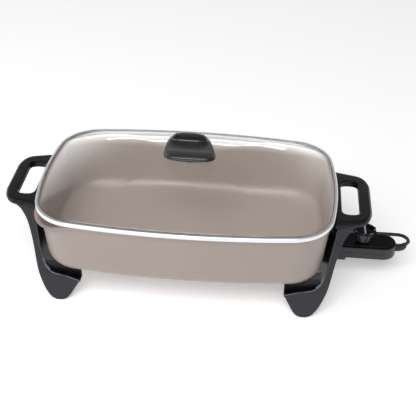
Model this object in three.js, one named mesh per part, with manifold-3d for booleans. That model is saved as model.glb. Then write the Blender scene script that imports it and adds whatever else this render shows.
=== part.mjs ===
// Electric skillet with a lift-off glass lid and a plug-in heat control.
// Millimetres, +Z up, +X towards the heat control, -Y towards the cook.
// The origin lies on the table, under the middle of the skillet with its control.

import * as THREE from 'three';
import { mergeVertices } from 'three/addons/utils/BufferGeometryUtils.js';
import Module from 'manifold-3d';

const wasm = await Module();
wasm.setup();

// Shared clearances
const seatGap = 0.3; // between pieces that touch
const cutOverrun = 2; // how far a cut runs past the face that it opens

// Pan, a deep cast tray with rounded corners and bowed sides
const panHalfLength = 201;
const panHalfWidth = 128;
const panCornerRadius = 58;
const panLongSideRadius = 1180;
const panEndRadius = 465;
const panRimZ = 131;
const panBottomZ = 46;
const panDraftAngle = 5.6;
const panWall = 3;
const panFloor = 4;
const panOuterFillet = 18;
const panLipWidth = 2.4;
const panLipHeight = 3.6;
const panLipRound = 0.8;
const spoutReach = 8;
const spoutDrop = 8;
const spoutFade = 34;
const studRadius = 3;
const studScrewDepth = 5.5;

// Heating element under the pan
const elementRadius = 3.5;
const elementHalfLength = 128;
const elementHalfWidth = 64;
const elementBend = 30;
const elementDip = 8;
const elementEndInset = 44;
const elementEndX = panHalfLength - elementEndInset;

// Terminal guard and pins, where the heat control plugs in
const socketZ = 39.5;
const pinSpread = 12;
const pinRadius = 2.4;
const pinReach = 15.6;
const guardMouthInset = 4.6;
const guardLength = 38.4;
const guardBlockLength = 16;
const guardMouthX = panHalfLength - guardMouthInset;
const guardBackX = guardMouthX - guardLength;
const guardBlockX = guardBackX + guardBlockLength;
const pinTipX = guardMouthX + pinReach;
const guardHalfWidth = 25;
const guardBottomZ = 29.5;
const guardWall = 1.8;
const guardCorner = 4;
const guardScrewX = guardBackX + guardBlockLength / 2;
const guardScrewY = 19;
const guardScrewRadius = 1.8;
const guardScrewHead = 3.6;
const guardScrewHeadHeight = 2.2;
const guardScrewReach = 2.4;

// Handle and leg brackets, one at each end
const loopReach = 48.5;
const loopTopZ = 124.4;
const loopThickness = 10.4;
const loopPanHalfWidth = 65;
const loopShoulderHalfWidth = 57.6;
const loopShoulder = 20;
const loopCornerHalfWidth = 54.5;
const loopCornerInset = 3;
const loopEndHalfWidth = 30;
const loopEdgeBevel = 4.4;
const loopPanGap = 1.5;
const holeInset = 8;
const holeLength = 24;
const holeEdgeFlare = 1.8;
const holeHalfWidth = 40;
const holeCorner = 10;
const legTopHalfWidth = 55.8;
const legFootHalfWidth = 111.8;
const legPanel = 4;
const endWallReach = 5.2;
const endWallLean = 11.8;
const endWallThickness = 3.6;
const endWallFootZ = 24;
const underWallInset = 12;
const underWallThickness = 4;
const underWallReach = 62.2;
const underWallTopZ = 68;
const shelfThickness = 3;
const shelfZ = 23;
const footPadHeight = 9;
const footPadDepth = 12;
const controlDoorHalfWidth = 28;
const controlDoorTopZ = 57;
const controlDoorCorner = 6;
const standoffRadius = 6;
const bracketScrewY = 40;
const bracketScrewZ = 96;
const bracketScrewRadius = 1.7;
const bracketScrewHead = 3.6;
const bracketScrewHeadHeight = 2.2;

// Lid, a domed glass in a folded steel rim
const lidOverhang = 2;
const lidRimWall = 0.8;
const lidRimLip = 7;
const glassThickness = 4;
const glassFlange = 6;
const domeHeight = 34.5;
const lidHoleRadius = 4;
const knobWasherRadius = 11;
const knobWasherThickness = 1.4;
const knobHalfLength = 35.5;
const knobHalfDepth = 14;
const knobHeight = 34.5;
const knobRibCount = 9;
const knobRibHalfWidth = 1;
const knobRibRise = 0.7;
const knobRibPitch = 4.4;
const knobScrewRadius = 2.4;
const knobScrewHead = 4.2;
const knobScrewHeadHeight = 2.2;
const knobScrewBite = 16;
const lidWasherRadius = 7.5;
const lidWasherThickness = 1;

// Heat control
const controlLength = 96;
const controlRearX = guardMouthX + seatGap * 2;
const controlEndX = controlRearX + controlLength;
const controlHalfWidth = 19.6;
const controlTopZ = 54;
const controlSplitZ = 44.6;
const controlBottomZ = 35.4;
const controlRearBottomZ = 31;
const controlRearLength = 27;
const controlWall = 2.2;
const controlCorner = 4;
const controlTopBevel = 2.4;
const plateauInset = 5;
const plateauRise = 0.8;
const probeRadius = 4;
const probeLength = 96;
const probeBite = 9;
const probeInsideX = controlRearX + probeBite;
const probeTipX = probeInsideX - probeLength;
const contactOuterRadius = 4;
const contactLength = 16;
const postRadius = 3.4;
const postInset = 19;
const postX = controlEndX - postInset;
const postY = 9;
const controlScrewRadius = 1.3;
const controlScrewHead = 2.6;
const controlScrewHeadHeight = 1.6;
const controlScrewReach = 4.5;

// Thermostat inside the heat control
const switchBaseInset = 27;
const switchBaseX = controlRearX + switchBaseInset;
const switchBaseLength = 16;
const switchBaseHalfWidth = 9;
const switchBaseHeight = 3.4;
const bladeThickness = 0.8;
const bladeHalfWidth = 3;
const bladeLength = 26;
const bimetalStep = 2.2;

// Dial and its shaft
const dialInset = 50;
const dialX = controlRearX + dialInset;
const dialTopRadius = 16;
const dialFootRadius = 9.4;
const dialHeight = 17.4;
const dialCrown = 1.6;
const dialFacetCount = 7;
const dialGrooveShare = 0.09;
const dialPointerHalfWidth = 1.5;
const dialPointerHeight = 1.2;
const dialRimWidth = 2;
const dialRecessDepth = 2.4;
const shaftRadius = 3;
const shaftBite = 8;
const camRadius = 7;
const camThickness = 2;

// Cord, its strain relief and its plug
const cordRadius = 2.5;
const reliefZ = 44.3;
const reliefHalfWidth = 4.2;
const reliefHalfHeight = 5.6;
const reliefRoot = 4;
const reliefRootFlange = 1.6;
const reliefStraight = 2.4;
const reliefBend = 13;
const reliefBendAngle = 60;
const reliefTaperShare = 0.74;
const coilInset = 201;
const coilX = controlEndX - coilInset;
const coilY = 186;
const coilTurnRadius = 26;
const coilPitch = 5.8;
const coilTurns = 3.5;
const coilStepsPerTurn = 24;
const coilTail = 19;
const plugLength = 27;
const plugHalfWidth = 6.6;
const plugNeck = 9;
const bladeSpread = 6.35;
const plugBladeLength = 17;
const plugBladeHalfWidth = 3.1;
const plugBladeThickness = 1.5;

// Curve smoothness, in steps
const endSteps = 3;
const cornerSteps = 6;
const spoutCornerSteps = 12;
const longSteps = 4;
const filletSteps = 4;
const roundSteps = 20;
const screwSides = 10;
const headSides = 12;
const sleeveSides = 14;
const boreSides = 16;
const knobSides = 28;
const cordSides = 8;
const cordSteps = 34;
const elementSides = 8;
const legOutlineSteps = 2;
const controlRoundSteps = 9;
const elementBendSteps = 5;

// Finishes
function finish(color, roughness, metalness) {
  return new THREE.MeshStandardMaterial({ color, roughness, metalness });
}

const ceramicCoat = finish(0xb0a69e, 0.42, 0.1);
const blackPlastic = finish(0x232225, 0.45, 0);
const glossPlastic = finish(0x141416, 0.2, 0);
const brightSteel = finish(0xd5d7d9, 0.25, 1);
const dullSteel = finish(0x8f9194, 0.45, 1);
const copperAlloy = finish(0xb98a4a, 0.35, 1);
const whiteCeramic = finish(0xe4e0d6, 0.7, 0);
const blackRubber = finish(0x1c1c1d, 0.8, 0);
const clearGlass = new THREE.MeshStandardMaterial({
  color: 0xeef3f2,
  roughness: 0.05,
  metalness: 0,
  transparent: true,
  opacity: 0.3,
});

// The whole skillet, moved so that the middle of its length is the origin
const skillet = new THREE.Group();
const loopOuterX = panHalfLength + loopReach;
skillet.position.x = (loopOuterX - controlEndX) / 2;

function radians(degrees) {
  return THREE.MathUtils.degToRad(degrees);
}

function addPiece(name, shape, material) {
  const geometry = shape.isBufferGeometry ? shape : geometryOf(shape);
  const mesh = new THREE.Mesh(geometry, material);
  mesh.name = name;
  skillet.add(mesh);
  return mesh;
}

// A closed geometry as a solid for joining and cutting
function solidOf(geometry) {
  const bare = geometry.clone();
  bare.deleteAttribute('normal');
  bare.deleteAttribute('uv');
  const merged = mergeVertices(bare);
  return new wasm.Manifold(new wasm.Mesh({
    numProp: 3,
    vertProperties: new Float32Array(merged.attributes.position.array),
    triVerts: new Uint32Array(merged.index.array),
  }));
}

function geometryOf(solid) {
  const mesh = solid.getMesh();
  const geometry = new THREE.BufferGeometry();
  geometry.setAttribute('position', new THREE.BufferAttribute(mesh.vertProperties, mesh.numProp));
  geometry.setIndex(new THREE.BufferAttribute(mesh.triVerts, 1));
  const flat = geometry.toNonIndexed();
  flat.computeVertexNormals();
  return flat;
}

function joined(solids) {
  return solids.reduce((whole, next) => whole.add(next));
}

// Prisms: a shape in the plane, given a thickness along Z, Y or X
function prismZ(shape, lowZ, highZ, curveSegments = 6) {
  const depth = highZ - lowZ;
  const geometry = new THREE.ExtrudeGeometry(shape, { depth, bevelEnabled: false, curveSegments });
  return geometry.translate(0, 0, lowZ);
}

function prismY(shape, lowY, highY, curveSegments = 6) {
  const depth = highY - lowY;
  const geometry = new THREE.ExtrudeGeometry(shape, { depth, bevelEnabled: false, curveSegments });
  return geometry.rotateX(Math.PI / 2).translate(0, highY, 0);
}

function prismX(shape, lowX, highX, curveSegments = 6) {
  const depth = highX - lowX;
  const geometry = new THREE.ExtrudeGeometry(shape, { depth, bevelEnabled: false, curveSegments });
  const turn = new THREE.Matrix4().makeBasis(
    new THREE.Vector3(0, 1, 0),
    new THREE.Vector3(0, 0, 1),
    new THREE.Vector3(1, 0, 0),
  );
  return geometry.applyMatrix4(turn).translate(lowX, 0, 0);
}

function box(lowX, highX, lowY, highY, lowZ, highZ) {
  const geometry = new THREE.BoxGeometry(highX - lowX, highY - lowY, highZ - lowZ);
  return geometry.translate((lowX + highX) / 2, (lowY + highY) / 2, (lowZ + highZ) / 2);
}

function rodZ(radius, x, y, lowZ, highZ, sides = roundSteps) {
  const geometry = new THREE.CylinderGeometry(radius, radius, highZ - lowZ, sides).rotateX(Math.PI / 2);
  return geometry.translate(x, y, (lowZ + highZ) / 2);
}

function rodX(radius, lowX, highX, y, z, sides = roundSteps) {
  const geometry = new THREE.CylinderGeometry(radius, radius, highX - lowX, sides).rotateZ(-Math.PI / 2);
  return geometry.translate((lowX + highX) / 2, y, z);
}

// A polygon whose corners are all rounded alike
function roundedPolygon(corners, radius) {
  const shape = new THREE.Shape();
  const points = corners.map(([u, v]) => new THREE.Vector2(u, v));
  points.forEach((here, i) => {
    const before = points[(i + points.length - 1) % points.length];
    const after = points[(i + 1) % points.length];
    const start = towards(here, before, radius);
    const end = towards(here, after, radius);
    if (i === 0) {
      shape.moveTo(start.x, start.y);
    } else {
      shape.lineTo(start.x, start.y);
    }
    shape.quadraticCurveTo(here.x, here.y, end.x, end.y);
  });
  shape.closePath();
  return shape;
}

function towards(from, to, distance) {
  const way = to.clone().sub(from);
  return from.clone().addScaledVector(way, Math.min(distance / way.length(), 0.49));
}

function roundedRectangle(lowU, highU, lowV, highV, radius) {
  return roundedPolygon([[lowU, lowV], [highU, lowV], [highU, highV], [lowU, highV]], radius);
}

// Skin over rings of equally many points; closed joins the last ring to the first
function skin(rings, closed = false) {
  const count = rings[0].length;
  const points = rings.flat();
  const faces = [];
  const spans = closed ? rings.length : rings.length - 1;
  for (let r = 0; r < spans; r += 1) {
    const here = r * count;
    const next = ((r + 1) % rings.length) * count;
    for (let i = 0; i < count; i += 1) {
      const j = (i + 1) % count;
      faces.push(here + i, here + j, next + j);
      faces.push(here + i, next + j, next + i);
    }
  }
  if (!closed) {
    const first = points.push(middleOf(rings[0])) - 1;
    const last = points.push(middleOf(rings[rings.length - 1])) - 1;
    const top = (rings.length - 1) * count;
    for (let i = 0; i < count; i += 1) {
      const j = (i + 1) % count;
      faces.push(first, j, i);
      faces.push(last, top + i, top + j);
    }
  }
  const geometry = new THREE.BufferGeometry().setFromPoints(points);
  geometry.setIndex(faces);
  geometry.computeVertexNormals();
  return geometry;
}

// The points round a closed shape, laid flat at a height
function ringOf(shape, z, divisions = 4) {
  const points = shape.getPoints(divisions);
  if (points[0].distanceTo(points[points.length - 1]) < seatGap / 10) {
    points.pop();
  }
  return points.map((point) => new THREE.Vector3(point.x, point.y, z));
}

function middleOf(ring) {
  return ring.reduce((sum, point) => sum.add(point), new THREE.Vector3()).divideScalar(ring.length);
}

// A tube of any section along a path of points, without twist about Z
function sweep(path, sectionAt) {
  const rings = path.map((point, i) => {
    const before = path[Math.max(i - 1, 0)];
    const after = path[Math.min(i + 1, path.length - 1)];
    const along = after.clone().sub(before).normalize();
    const side = new THREE.Vector3(0, 0, 1).cross(along).normalize();
    const up = along.clone().cross(side);
    const place = ([u, v]) => point.clone().addScaledVector(side, u).addScaledVector(up, v);
    return sectionAt(i / (path.length - 1)).map(place);
  });
  return skin(rings);
}

// A run of straights whose corners are bent round
function roundedPath(corners, bend, steps) {
  const path = [corners[0]];
  corners.slice(1, -1).forEach((here, i) => {
    const start = towards(here, corners[i], bend);
    const end = towards(here, corners[i + 2], bend);
    path.push(...new THREE.QuadraticBezierCurve3(start, here, end).getPoints(steps));
  });
  path.push(corners[corners.length - 1]);
  return path;
}

function circleSection(radius, sides) {
  return Array.from({ length: sides }, (_, i) => {
    const angle = (2 * Math.PI * (i + 0.5)) / sides;
    return [radius * Math.cos(angle), radius * Math.sin(angle)];
  });
}

// The pan's outline: three tangent arcs a quarter, for the end, the corner and the long side
const longCentreY = panHalfWidth - panLongSideRadius;
const endCentreX = panHalfLength - panEndRadius;
const cornerCentre = cornerCircleCentre();
const cornerLowAngle = Math.atan2(cornerCentre.y, cornerCentre.x - endCentreX);
const cornerHighAngle = Math.atan2(cornerCentre.y - longCentreY, cornerCentre.x);

function cornerCircleCentre() {
  const toLong = panLongSideRadius - panCornerRadius;
  const toEnd = panEndRadius - panCornerRadius;
  const across = new THREE.Vector2(endCentreX, -longCentreY);
  const span = across.length();
  const along = (toLong ** 2 - toEnd ** 2 + span ** 2) / (2 * span);
  const aside = Math.sqrt(toLong ** 2 - along ** 2);
  const unit = across.clone().normalize();
  return new THREE.Vector2(
    unit.x * along + unit.y * aside,
    longCentreY + unit.y * along - unit.x * aside,
  );
}

// One quarter from the +X axis to the +Y axis, moved in by inset
function quarter(inset, corner) {
  const points = [];
  const arc = (x, y, radius, from, to, steps) => {
    for (let i = 0; i < steps; i += 1) {
      const angle = from + ((to - from) * i) / steps;
      points.push([x + radius * Math.cos(angle), y + radius * Math.sin(angle)]);
    }
  };
  arc(endCentreX, 0, panEndRadius - inset, 0, cornerLowAngle, endSteps);
  arc(cornerCentre.x, cornerCentre.y, panCornerRadius - inset, cornerLowAngle, cornerHighAngle, corner);
  arc(0, longCentreY, panLongSideRadius - inset, cornerHighAngle, Math.PI / 2, longSteps);
  return points;
}

function outline(inset, frontLeftCorner = cornerSteps) {
  const plain = quarter(inset, cornerSteps);
  const spouted = quarter(inset, frontLeftCorner);
  const top = [0, quarterTop(inset)];
  const mirrored = (points, signX, signY) => points.slice().reverse().map(([x, y]) => [signX * x, signY * y]);
  return [
    ...plain,
    top,
    ...mirrored(plain.slice(1), -1, 1),
    ...spouted.map(([x, y]) => [-x, -y]),
    [0, -top[1]],
    ...mirrored(plain.slice(1), 1, -1),
  ];
}

function quarterTop(inset) {
  return longCentreY + panLongSideRadius - inset;
}

// How far the pan's outer wall lies inside its rim at a height
const draft = Math.tan(radians(panDraftAngle));
const underLipZ = panRimZ - panLipHeight;

function wallInset(z) {
  return panLipWidth + Math.max(underLipZ - z, 0) * draft;
}

function panWallX(z) {
  return panHalfLength - wallInset(z);
}

// The rounded edge where a drafted wall meets a floor, as inset and height pairs from floor to wall
function filletProfile(wallAt, floorZ, radius) {
  const centreZ = floorZ + radius;
  const reach = radius / Math.cos(radians(panDraftAngle));
  const centreInset = wallAt(centreZ) + reach;
  return Array.from({ length: filletSteps + 1 }, (_, i) => {
    const angle = ((90 - panDraftAngle) * i) / filletSteps;
    const turn = radians(angle);
    return [centreInset - radius * Math.sin(turn), centreZ - radius * Math.cos(turn)];
  });
}

// The pouring lip: the front left corner leans out and dips towards the rim
const spoutAngleShare = 0.42;

function withSpout(points, z) {
  const rise = Math.max(1 - (panRimZ - z) / spoutFade, 0);
  return points.map(([x, y]) => {
    const fromCorner = new THREE.Vector2(-x - cornerCentre.x, -y - cornerCentre.y);
    const middle = (cornerLowAngle + cornerHighAngle) / 2;
    const half = ((cornerHighAngle - cornerLowAngle) / 2) * (1 + spoutAngleShare);
    const away = Math.abs(fromCorner.angle() - middle) / half;
    const inCorner = -x > cornerCentre.x * spoutAngleShare && -y > 0 && away < 1;
    const strength = inCorner ? Math.cos((away * Math.PI) / 2) ** 2 * rise ** 2 : 0;
    const push = fromCorner.normalize().multiplyScalar(spoutReach * strength);
    return new THREE.Vector3(x - push.x, y - push.y, z - spoutDrop * strength);
  });
}

function panRing([inset, z]) {
  return withSpout(outline(inset, spoutCornerSteps), z);
}

// The outer face of the pan, grown by a clearance, as a solid that neighbours are cut with
function panEnvelope(clearance) {
  const outer = filletProfile(wallInset, panBottomZ, panOuterFillet);
  const rings = [
    ...outer,
    [wallInset(underLipZ), underLipZ],
    [0, underLipZ],
    [0, panRimZ + panLipHeight],
  ];
  return solidOf(skin(rings.map(([inset, z]) => panRing([inset - clearance, z]).map((point) => {
    point.z -= z < underLipZ ? clearance : 0;
    return point;
  }))));
}

function makePan() {
  const innerWallAt = (z) => wallInset(z) + panWall;
  const innerFloorZ = panBottomZ + panFloor;
  const innerFillet = panOuterFillet - panWall;
  const outer = filletProfile(wallInset, panBottomZ, panOuterFillet);
  const inner = filletProfile(innerWallAt, innerFloorZ, innerFillet).reverse();
  const wallSteps = 4;
  const wallProfile = (wallAt, fromZ, toZ) => Array.from({ length: wallSteps }, (_, i) => {
    const z = fromZ + ((toZ - fromZ) * (i + 1)) / wallSteps;
    return [wallAt(z), z];
  });
  const profile = [
    ...outer,
    ...wallProfile(wallInset, outer[outer.length - 1][1], underLipZ),
    [panLipRound, underLipZ],
    [0, underLipZ + panLipRound],
    [0, panRimZ - panLipRound],
    [panLipRound, panRimZ],
    [innerWallAt(underLipZ), panRimZ],
    ...wallProfile(innerWallAt, panRimZ, inner[0][1]).slice(0, -1),
    ...inner,
  ];
  const studs = bracketScrewPlaces().map(([side, y]) => {
    const wallX = panWallX(bracketScrewZ);
    const rod = rodX(studRadius, wallX - panWall, studEndX(), y, bracketScrewZ, headSides);
    return solidOf(mirroredX(rod, side));
  });
  const threads = bracketScrewPlaces().map(([side, y]) => {
    const rod = rodX(
      bracketScrewRadius + seatGap,
      studEndX() - studScrewDepth,
      studEndX() + cutOverrun,
      y,
      bracketScrewZ,
      screwSides,
    );
    return solidOf(mirroredX(rod, side));
  });
  const guardHoles = [1, -1].map((side) => solidOf(rodZ(
    guardScrewRadius + seatGap,
    guardScrewX,
    side * guardScrewY,
    panBottomZ - cutOverrun,
    panBottomZ + guardScrewReach + seatGap,
    screwSides,
  )));
  return joined([solidOf(skin(profile.map(panRing))), ...studs])
    .subtract(joined([...threads, ...guardHoles]));
}

function studEndX() {
  return endWallX(bracketScrewZ) - seatGap;
}

function bracketScrewPlaces() {
  return [[1, bracketScrewY], [1, -bracketScrewY], [-1, bracketScrewY], [-1, -bracketScrewY]];
}

function mirroredX(geometry, side) {
  if (side > 0) {
    return geometry;
  }
  return geometry.rotateZ(Math.PI);
}

// Heating element: a flat loop under the pan whose ends dip to the terminal guard
function makeElement() {
  const z = panBottomZ - seatGap - elementRadius;
  const halfRoute = [
    [elementEndX, pinSpread, socketZ],
    [elementEndX - elementDip, pinSpread, socketZ],
    [elementEndX - elementDip * 2, pinSpread, z],
    [elementHalfLength - elementDip, pinSpread, z],
    [elementHalfLength - elementDip, elementHalfWidth, z],
    [-elementHalfLength, elementHalfWidth, z],
  ].map((place) => new THREE.Vector3(...place));
  const acrossPan = new THREE.Vector3(1, -1, 1);
  const otherHalf = halfRoute.slice().reverse().map((place) => place.clone().multiply(acrossPan));
  const path = roundedPath([...halfRoute, ...otherHalf], elementBend, elementBendSteps);
  return sweep(path, () => circleSection(elementRadius, elementSides));
}

// Terminal guard: an insulating block with a shroud that the control's nose meets
function makeGuard() {
  const topZ = panBottomZ - seatGap;
  const highZ = topZ + guardCorner * 2;
  const outer = roundedRectangle(-guardHalfWidth, guardHalfWidth, guardBottomZ, highZ, guardCorner);
  const innerHalf = guardHalfWidth - guardWall;
  const inner = roundedRectangle(-innerHalf, innerHalf, guardBottomZ + guardWall, highZ, guardCorner);
  const body = solidOf(prismX(outer, guardBackX, guardMouthX));
  const hollow = solidOf(prismX(inner, guardBlockX, guardMouthX + cutOverrun));
  const topCut = solidOf(box(
    guardBackX - cutOverrun,
    guardMouthX + cutOverrun,
    -guardHalfWidth * 2,
    guardHalfWidth * 2,
    topZ,
    topZ + guardCorner * 3,
  ));
  const bores = [
    [probeRadius, 0],
    [pinRadius, pinSpread],
    [pinRadius, -pinSpread],
  ].map(([radius, y]) => solidOf(rodX(
    radius + seatGap,
    guardBackX - cutOverrun,
    guardMouthX,
    y,
    socketZ,
    boreSides,
  )));
  const screwBores = [1, -1].flatMap((side) => [
    solidOf(rodZ(
      guardScrewRadius + seatGap,
      guardScrewX,
      side * guardScrewY,
      guardBottomZ - cutOverrun,
      topZ + cutOverrun,
      headSides,
    )),
    solidOf(rodZ(
      guardScrewHead + seatGap,
      guardScrewX,
      side * guardScrewY,
      guardBottomZ - cutOverrun,
      guardBottomZ + guardScrewHeadHeight,
      headSides,
    )),
  ]);
  return body.subtract(joined([hollow, topCut, ...bores, ...screwBores]));
}

function makeGuardScrew(side) {
  const y = side * guardScrewY;
  const headTop = guardBottomZ + guardScrewHeadHeight - seatGap;
  const tipZ = panBottomZ + guardScrewReach;
  return joined([
    solidOf(rodZ(guardScrewHead, guardScrewX, y, guardBottomZ, headTop, headSides)),
    solidOf(rodZ(guardScrewRadius, guardScrewX, y, headTop - guardScrewRadius, tipZ, screwSides)),
  ]);
}

// Brackets: a carrying loop above, a fin-shaped panel down to each foot, and a wall beside the pan
// The outlines of a leg are shares of the loop's reach past the rim and of the loop's height
const legOuterShares = [
  [0.66, 0.965],
  [0.515, 0.932],
  [0.4, 0.89],
  [0.25, 0.797],
  [0.135, 0.669],
  [0.045, 0.531],
  [-0.03, 0.394],
  [-0.12, 0.261],
  [-0.29, 0.123],
  [-0.47, 0.037],
  [-0.62, 0],
];
const legFootShares = [
  [-0.83, 0],
  [-0.99, 0.041],
  [-1.13, 0.123],
  [-1.27, 0.207],
];
const legInnerShares = [
  [-0.9, 0.246],
  [-0.515, 0.274],
  [-0.33, 0.322],
  [-0.217, 0.394],
  [-0.09, 0.579],
  [0.01, 0.804],
  [0.085, 0.965],
];

function legPoint([reachShare, heightShare]) {
  return new THREE.Vector2(panHalfLength + reachShare * loopReach, heightShare * loopTopZ);
}

function legShape() {
  const shape = new THREE.Shape();
  const outer = legOuterShares.map(legPoint);
  const foot = legFootShares.map(legPoint);
  const inner = legInnerShares.map(legPoint);
  shape.moveTo(outer[0].x, outer[0].y);
  shape.splineThru(outer.slice(1));
  shape.lineTo(foot[0].x, foot[0].y);
  shape.splineThru(foot.slice(1));
  shape.lineTo(inner[0].x, inner[0].y);
  shape.splineThru(inner.slice(1));
  shape.closePath();
  return shape;
}

// Between the two sloping planes that the leg panels lie in, moved in by inset
function legWedge(inset) {
  const slope = (legFootHalfWidth - legTopHalfWidth) / loopTopZ;
  const lowZ = -loopThickness;
  const highZ = loopTopZ + loopThickness;
  const halfAt = (z) => legFootHalfWidth - slope * z - inset * Math.hypot(1, slope);
  const shape = new THREE.Shape();
  shape.moveTo(-halfAt(lowZ), lowZ);
  shape.lineTo(halfAt(lowZ), lowZ);
  shape.lineTo(halfAt(highZ), highZ);
  shape.lineTo(-halfAt(highZ), highZ);
  shape.closePath();
  return solidOf(prismX(shape, 0, loopOuterX + loopThickness));
}

function makeLoop() {
  const nearX = panHalfLength - loopPanGap;
  const shoulderX = loopOuterX - loopShoulder;
  const cornerX = loopOuterX - loopCornerInset;
  const plan = new THREE.Shape();
  plan.moveTo(nearX, -loopPanHalfWidth);
  plan.lineTo(shoulderX, -loopShoulderHalfWidth);
  plan.quadraticCurveTo(cornerX, -loopCornerHalfWidth, loopOuterX, -loopEndHalfWidth);
  plan.lineTo(loopOuterX, loopEndHalfWidth);
  plan.quadraticCurveTo(cornerX, loopCornerHalfWidth, shoulderX, loopShoulderHalfWidth);
  plan.lineTo(nearX, loopPanHalfWidth);
  plan.closePath();
  const geometry = new THREE.ExtrudeGeometry(plan, {
    depth: loopThickness - loopEdgeBevel * 2,
    bevelEnabled: true,
    bevelThickness: loopEdgeBevel,
    bevelSize: loopEdgeBevel,
    bevelOffset: -loopEdgeBevel,
    bevelSegments: 3,
    curveSegments: 6,
  });
  const plate = solidOf(geometry.translate(0, 0, loopTopZ - loopThickness + loopEdgeBevel));
  return plate.subtract(makeLoopHole(panHalfLength + holeInset));
}

function makeLoopHole(nearX) {
  const ringAt = ([grow, z]) => {
    const shape = roundedRectangle(
      nearX - grow,
      nearX + holeLength + grow,
      -holeHalfWidth - grow,
      holeHalfWidth + grow,
      holeCorner + grow,
    );
    return ringOf(shape, z);
  };
  const bottomZ = loopTopZ - loopThickness;
  return solidOf(skin([
    [holeEdgeFlare * 2, bottomZ - holeEdgeFlare],
    [0, bottomZ + holeEdgeFlare],
    [0, loopTopZ - holeEdgeFlare],
    [holeEdgeFlare / 3, loopTopZ - holeEdgeFlare / 3],
    [holeEdgeFlare, loopTopZ],
    [holeEdgeFlare * 2, loopTopZ + holeEdgeFlare / 2],
  ].map(ringAt)));
}

// The face of the end wall that looks at the pan leans like the leg's inner edge
function endWallX(z) {
  return panHalfLength + endWallReach - (loopTopZ - z) * Math.tan(radians(endWallLean));
}

function makeEndWall() {
  const topZ = loopTopZ - loopEdgeBevel;
  const side = new THREE.Shape();
  side.moveTo(endWallX(endWallFootZ), endWallFootZ);
  side.lineTo(endWallX(endWallFootZ) + endWallThickness, endWallFootZ);
  side.lineTo(endWallX(topZ) + endWallThickness, topZ);
  side.lineTo(endWallX(topZ), topZ);
  side.closePath();
  return solidOf(prismY(side, -legFootHalfWidth, legFootHalfWidth));
}

function makeBracket(side) {
  const finReach = legFootHalfWidth + loopThickness;
  const fin = solidOf(prismY(legShape(), -finReach, finReach, legOutlineSteps));
  const outerWedge = legWedge(0);
  const panels = fin.intersect(outerWedge).subtract(legWedge(legPanel));
  const footPads = fin
    .intersect(outerWedge)
    .subtract(legWedge(footPadDepth))
    .intersect(solidOf(box(0, loopOuterX, -legFootHalfWidth * 2, legFootHalfWidth * 2, 0, footPadHeight)));
  const tipX = panHalfLength - underWallReach;
  const wallX = endWallX(shelfZ) + endWallThickness / 2;
  const slope = (legFootHalfWidth - legTopHalfWidth) / loopTopZ;
  const shelfOuterY = legFootHalfWidth - slope * shelfZ - legPanel / 2;
  const underWallY = legFootHalfWidth - slope * shelfZ - legPanel - underWallInset;
  const ribs = [1, -1].flatMap((end) => {
    const lowY = Math.min(end * underWallY, end * (underWallY + underWallThickness));
    const shelfLowY = Math.min(end * underWallY, end * shelfOuterY);
    const shelfHighY = Math.max(end * underWallY, end * shelfOuterY);
    return [
      solidOf(box(tipX, wallX, lowY, lowY + underWallThickness, shelfZ, underWallTopZ)),
      solidOf(box(
        tipX + underWallThickness,
        wallX,
        shelfLowY,
        shelfHighY,
        shelfZ,
        shelfZ + shelfThickness,
      )),
    ];
  });
  const standoffs = [bracketScrewY, -bracketScrewY].map((y) => solidOf(rodX(
    standoffRadius,
    panWallX(bracketScrewZ) - panWall,
    endWallX(bracketScrewZ) + endWallThickness / 2,
    y,
    bracketScrewZ,
    sleeveSides,
  )));
  const headSeatX = bracketScrewSeatX();
  const insideX = panWallX(bracketScrewZ) - panWall;
  const screwBores = [bracketScrewY, -bracketScrewY].flatMap((y) => [
    solidOf(rodX(studRadius + seatGap, insideX, studEndX() + seatGap, y, bracketScrewZ, headSides)),
    solidOf(rodX(
      bracketScrewRadius + seatGap,
      insideX,
      headSeatX + cutOverrun,
      y,
      bracketScrewZ,
      screwSides,
    )),
    solidOf(rodX(
      bracketScrewHead + seatGap * 2,
      headSeatX,
      headSeatX + loopThickness,
      y,
      bracketScrewZ,
      headSides,
    )),
  ]);
  const doorShape = roundedRectangle(
    -controlDoorHalfWidth,
    controlDoorHalfWidth,
    -loopThickness,
    controlDoorTopZ,
    controlDoorCorner,
  );
  const door = solidOf(prismX(doorShape, panHalfLength - underWallReach, loopOuterX));
  const bracket = joined([
    panels,
    footPads,
    makeLoop(),
    makeEndWall().intersect(outerWedge),
    ...ribs.map((rib) => rib.intersect(outerWedge)),
    ...standoffs,
  ]).subtract(joined([panEnvelope(seatGap), door, ...screwBores]));
  return side > 0 ? bracket : bracket.rotate([0, 0, 180]);
}

// The face in the end wall that a bracket screw's head sits on
function bracketScrewSeatX() {
  return endWallX(bracketScrewZ - bracketScrewHead) + endWallThickness;
}

function makeBracketScrew(side, y) {
  const seat = bracketScrewSeatX() + seatGap;
  const parts = joined([
    solidOf(rodX(bracketScrewHead, seat, seat + bracketScrewHeadHeight, 0, bracketScrewZ, headSides)),
    solidOf(rodX(
      bracketScrewRadius,
      studEndX() - studScrewDepth + seatGap,
      seat + bracketScrewHeadHeight / 2,
      0,
      bracketScrewZ,
      screwSides,
    )),
  ]);
  const turned = side > 0 ? parts : parts.rotate([0, 0, 180]);
  return turned.translate([0, y, 0]);
}

// Lid: rim, glass, knob and what fastens it
const lidRimBottomZ = panRimZ + seatGap;
const glassBottomZ = lidRimBottomZ + lidRimWall + seatGap;
const glassTopZ = glassBottomZ + glassThickness;
const lidRimTopZ = glassTopZ + seatGap + lidRimWall;
const crownZ = glassTopZ + domeHeight;
const domePower = 2.4;

function flatRing([inset, z]) {
  return outline(inset - lidOverhang).map(([x, y]) => new THREE.Vector3(x, y, z));
}

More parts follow.
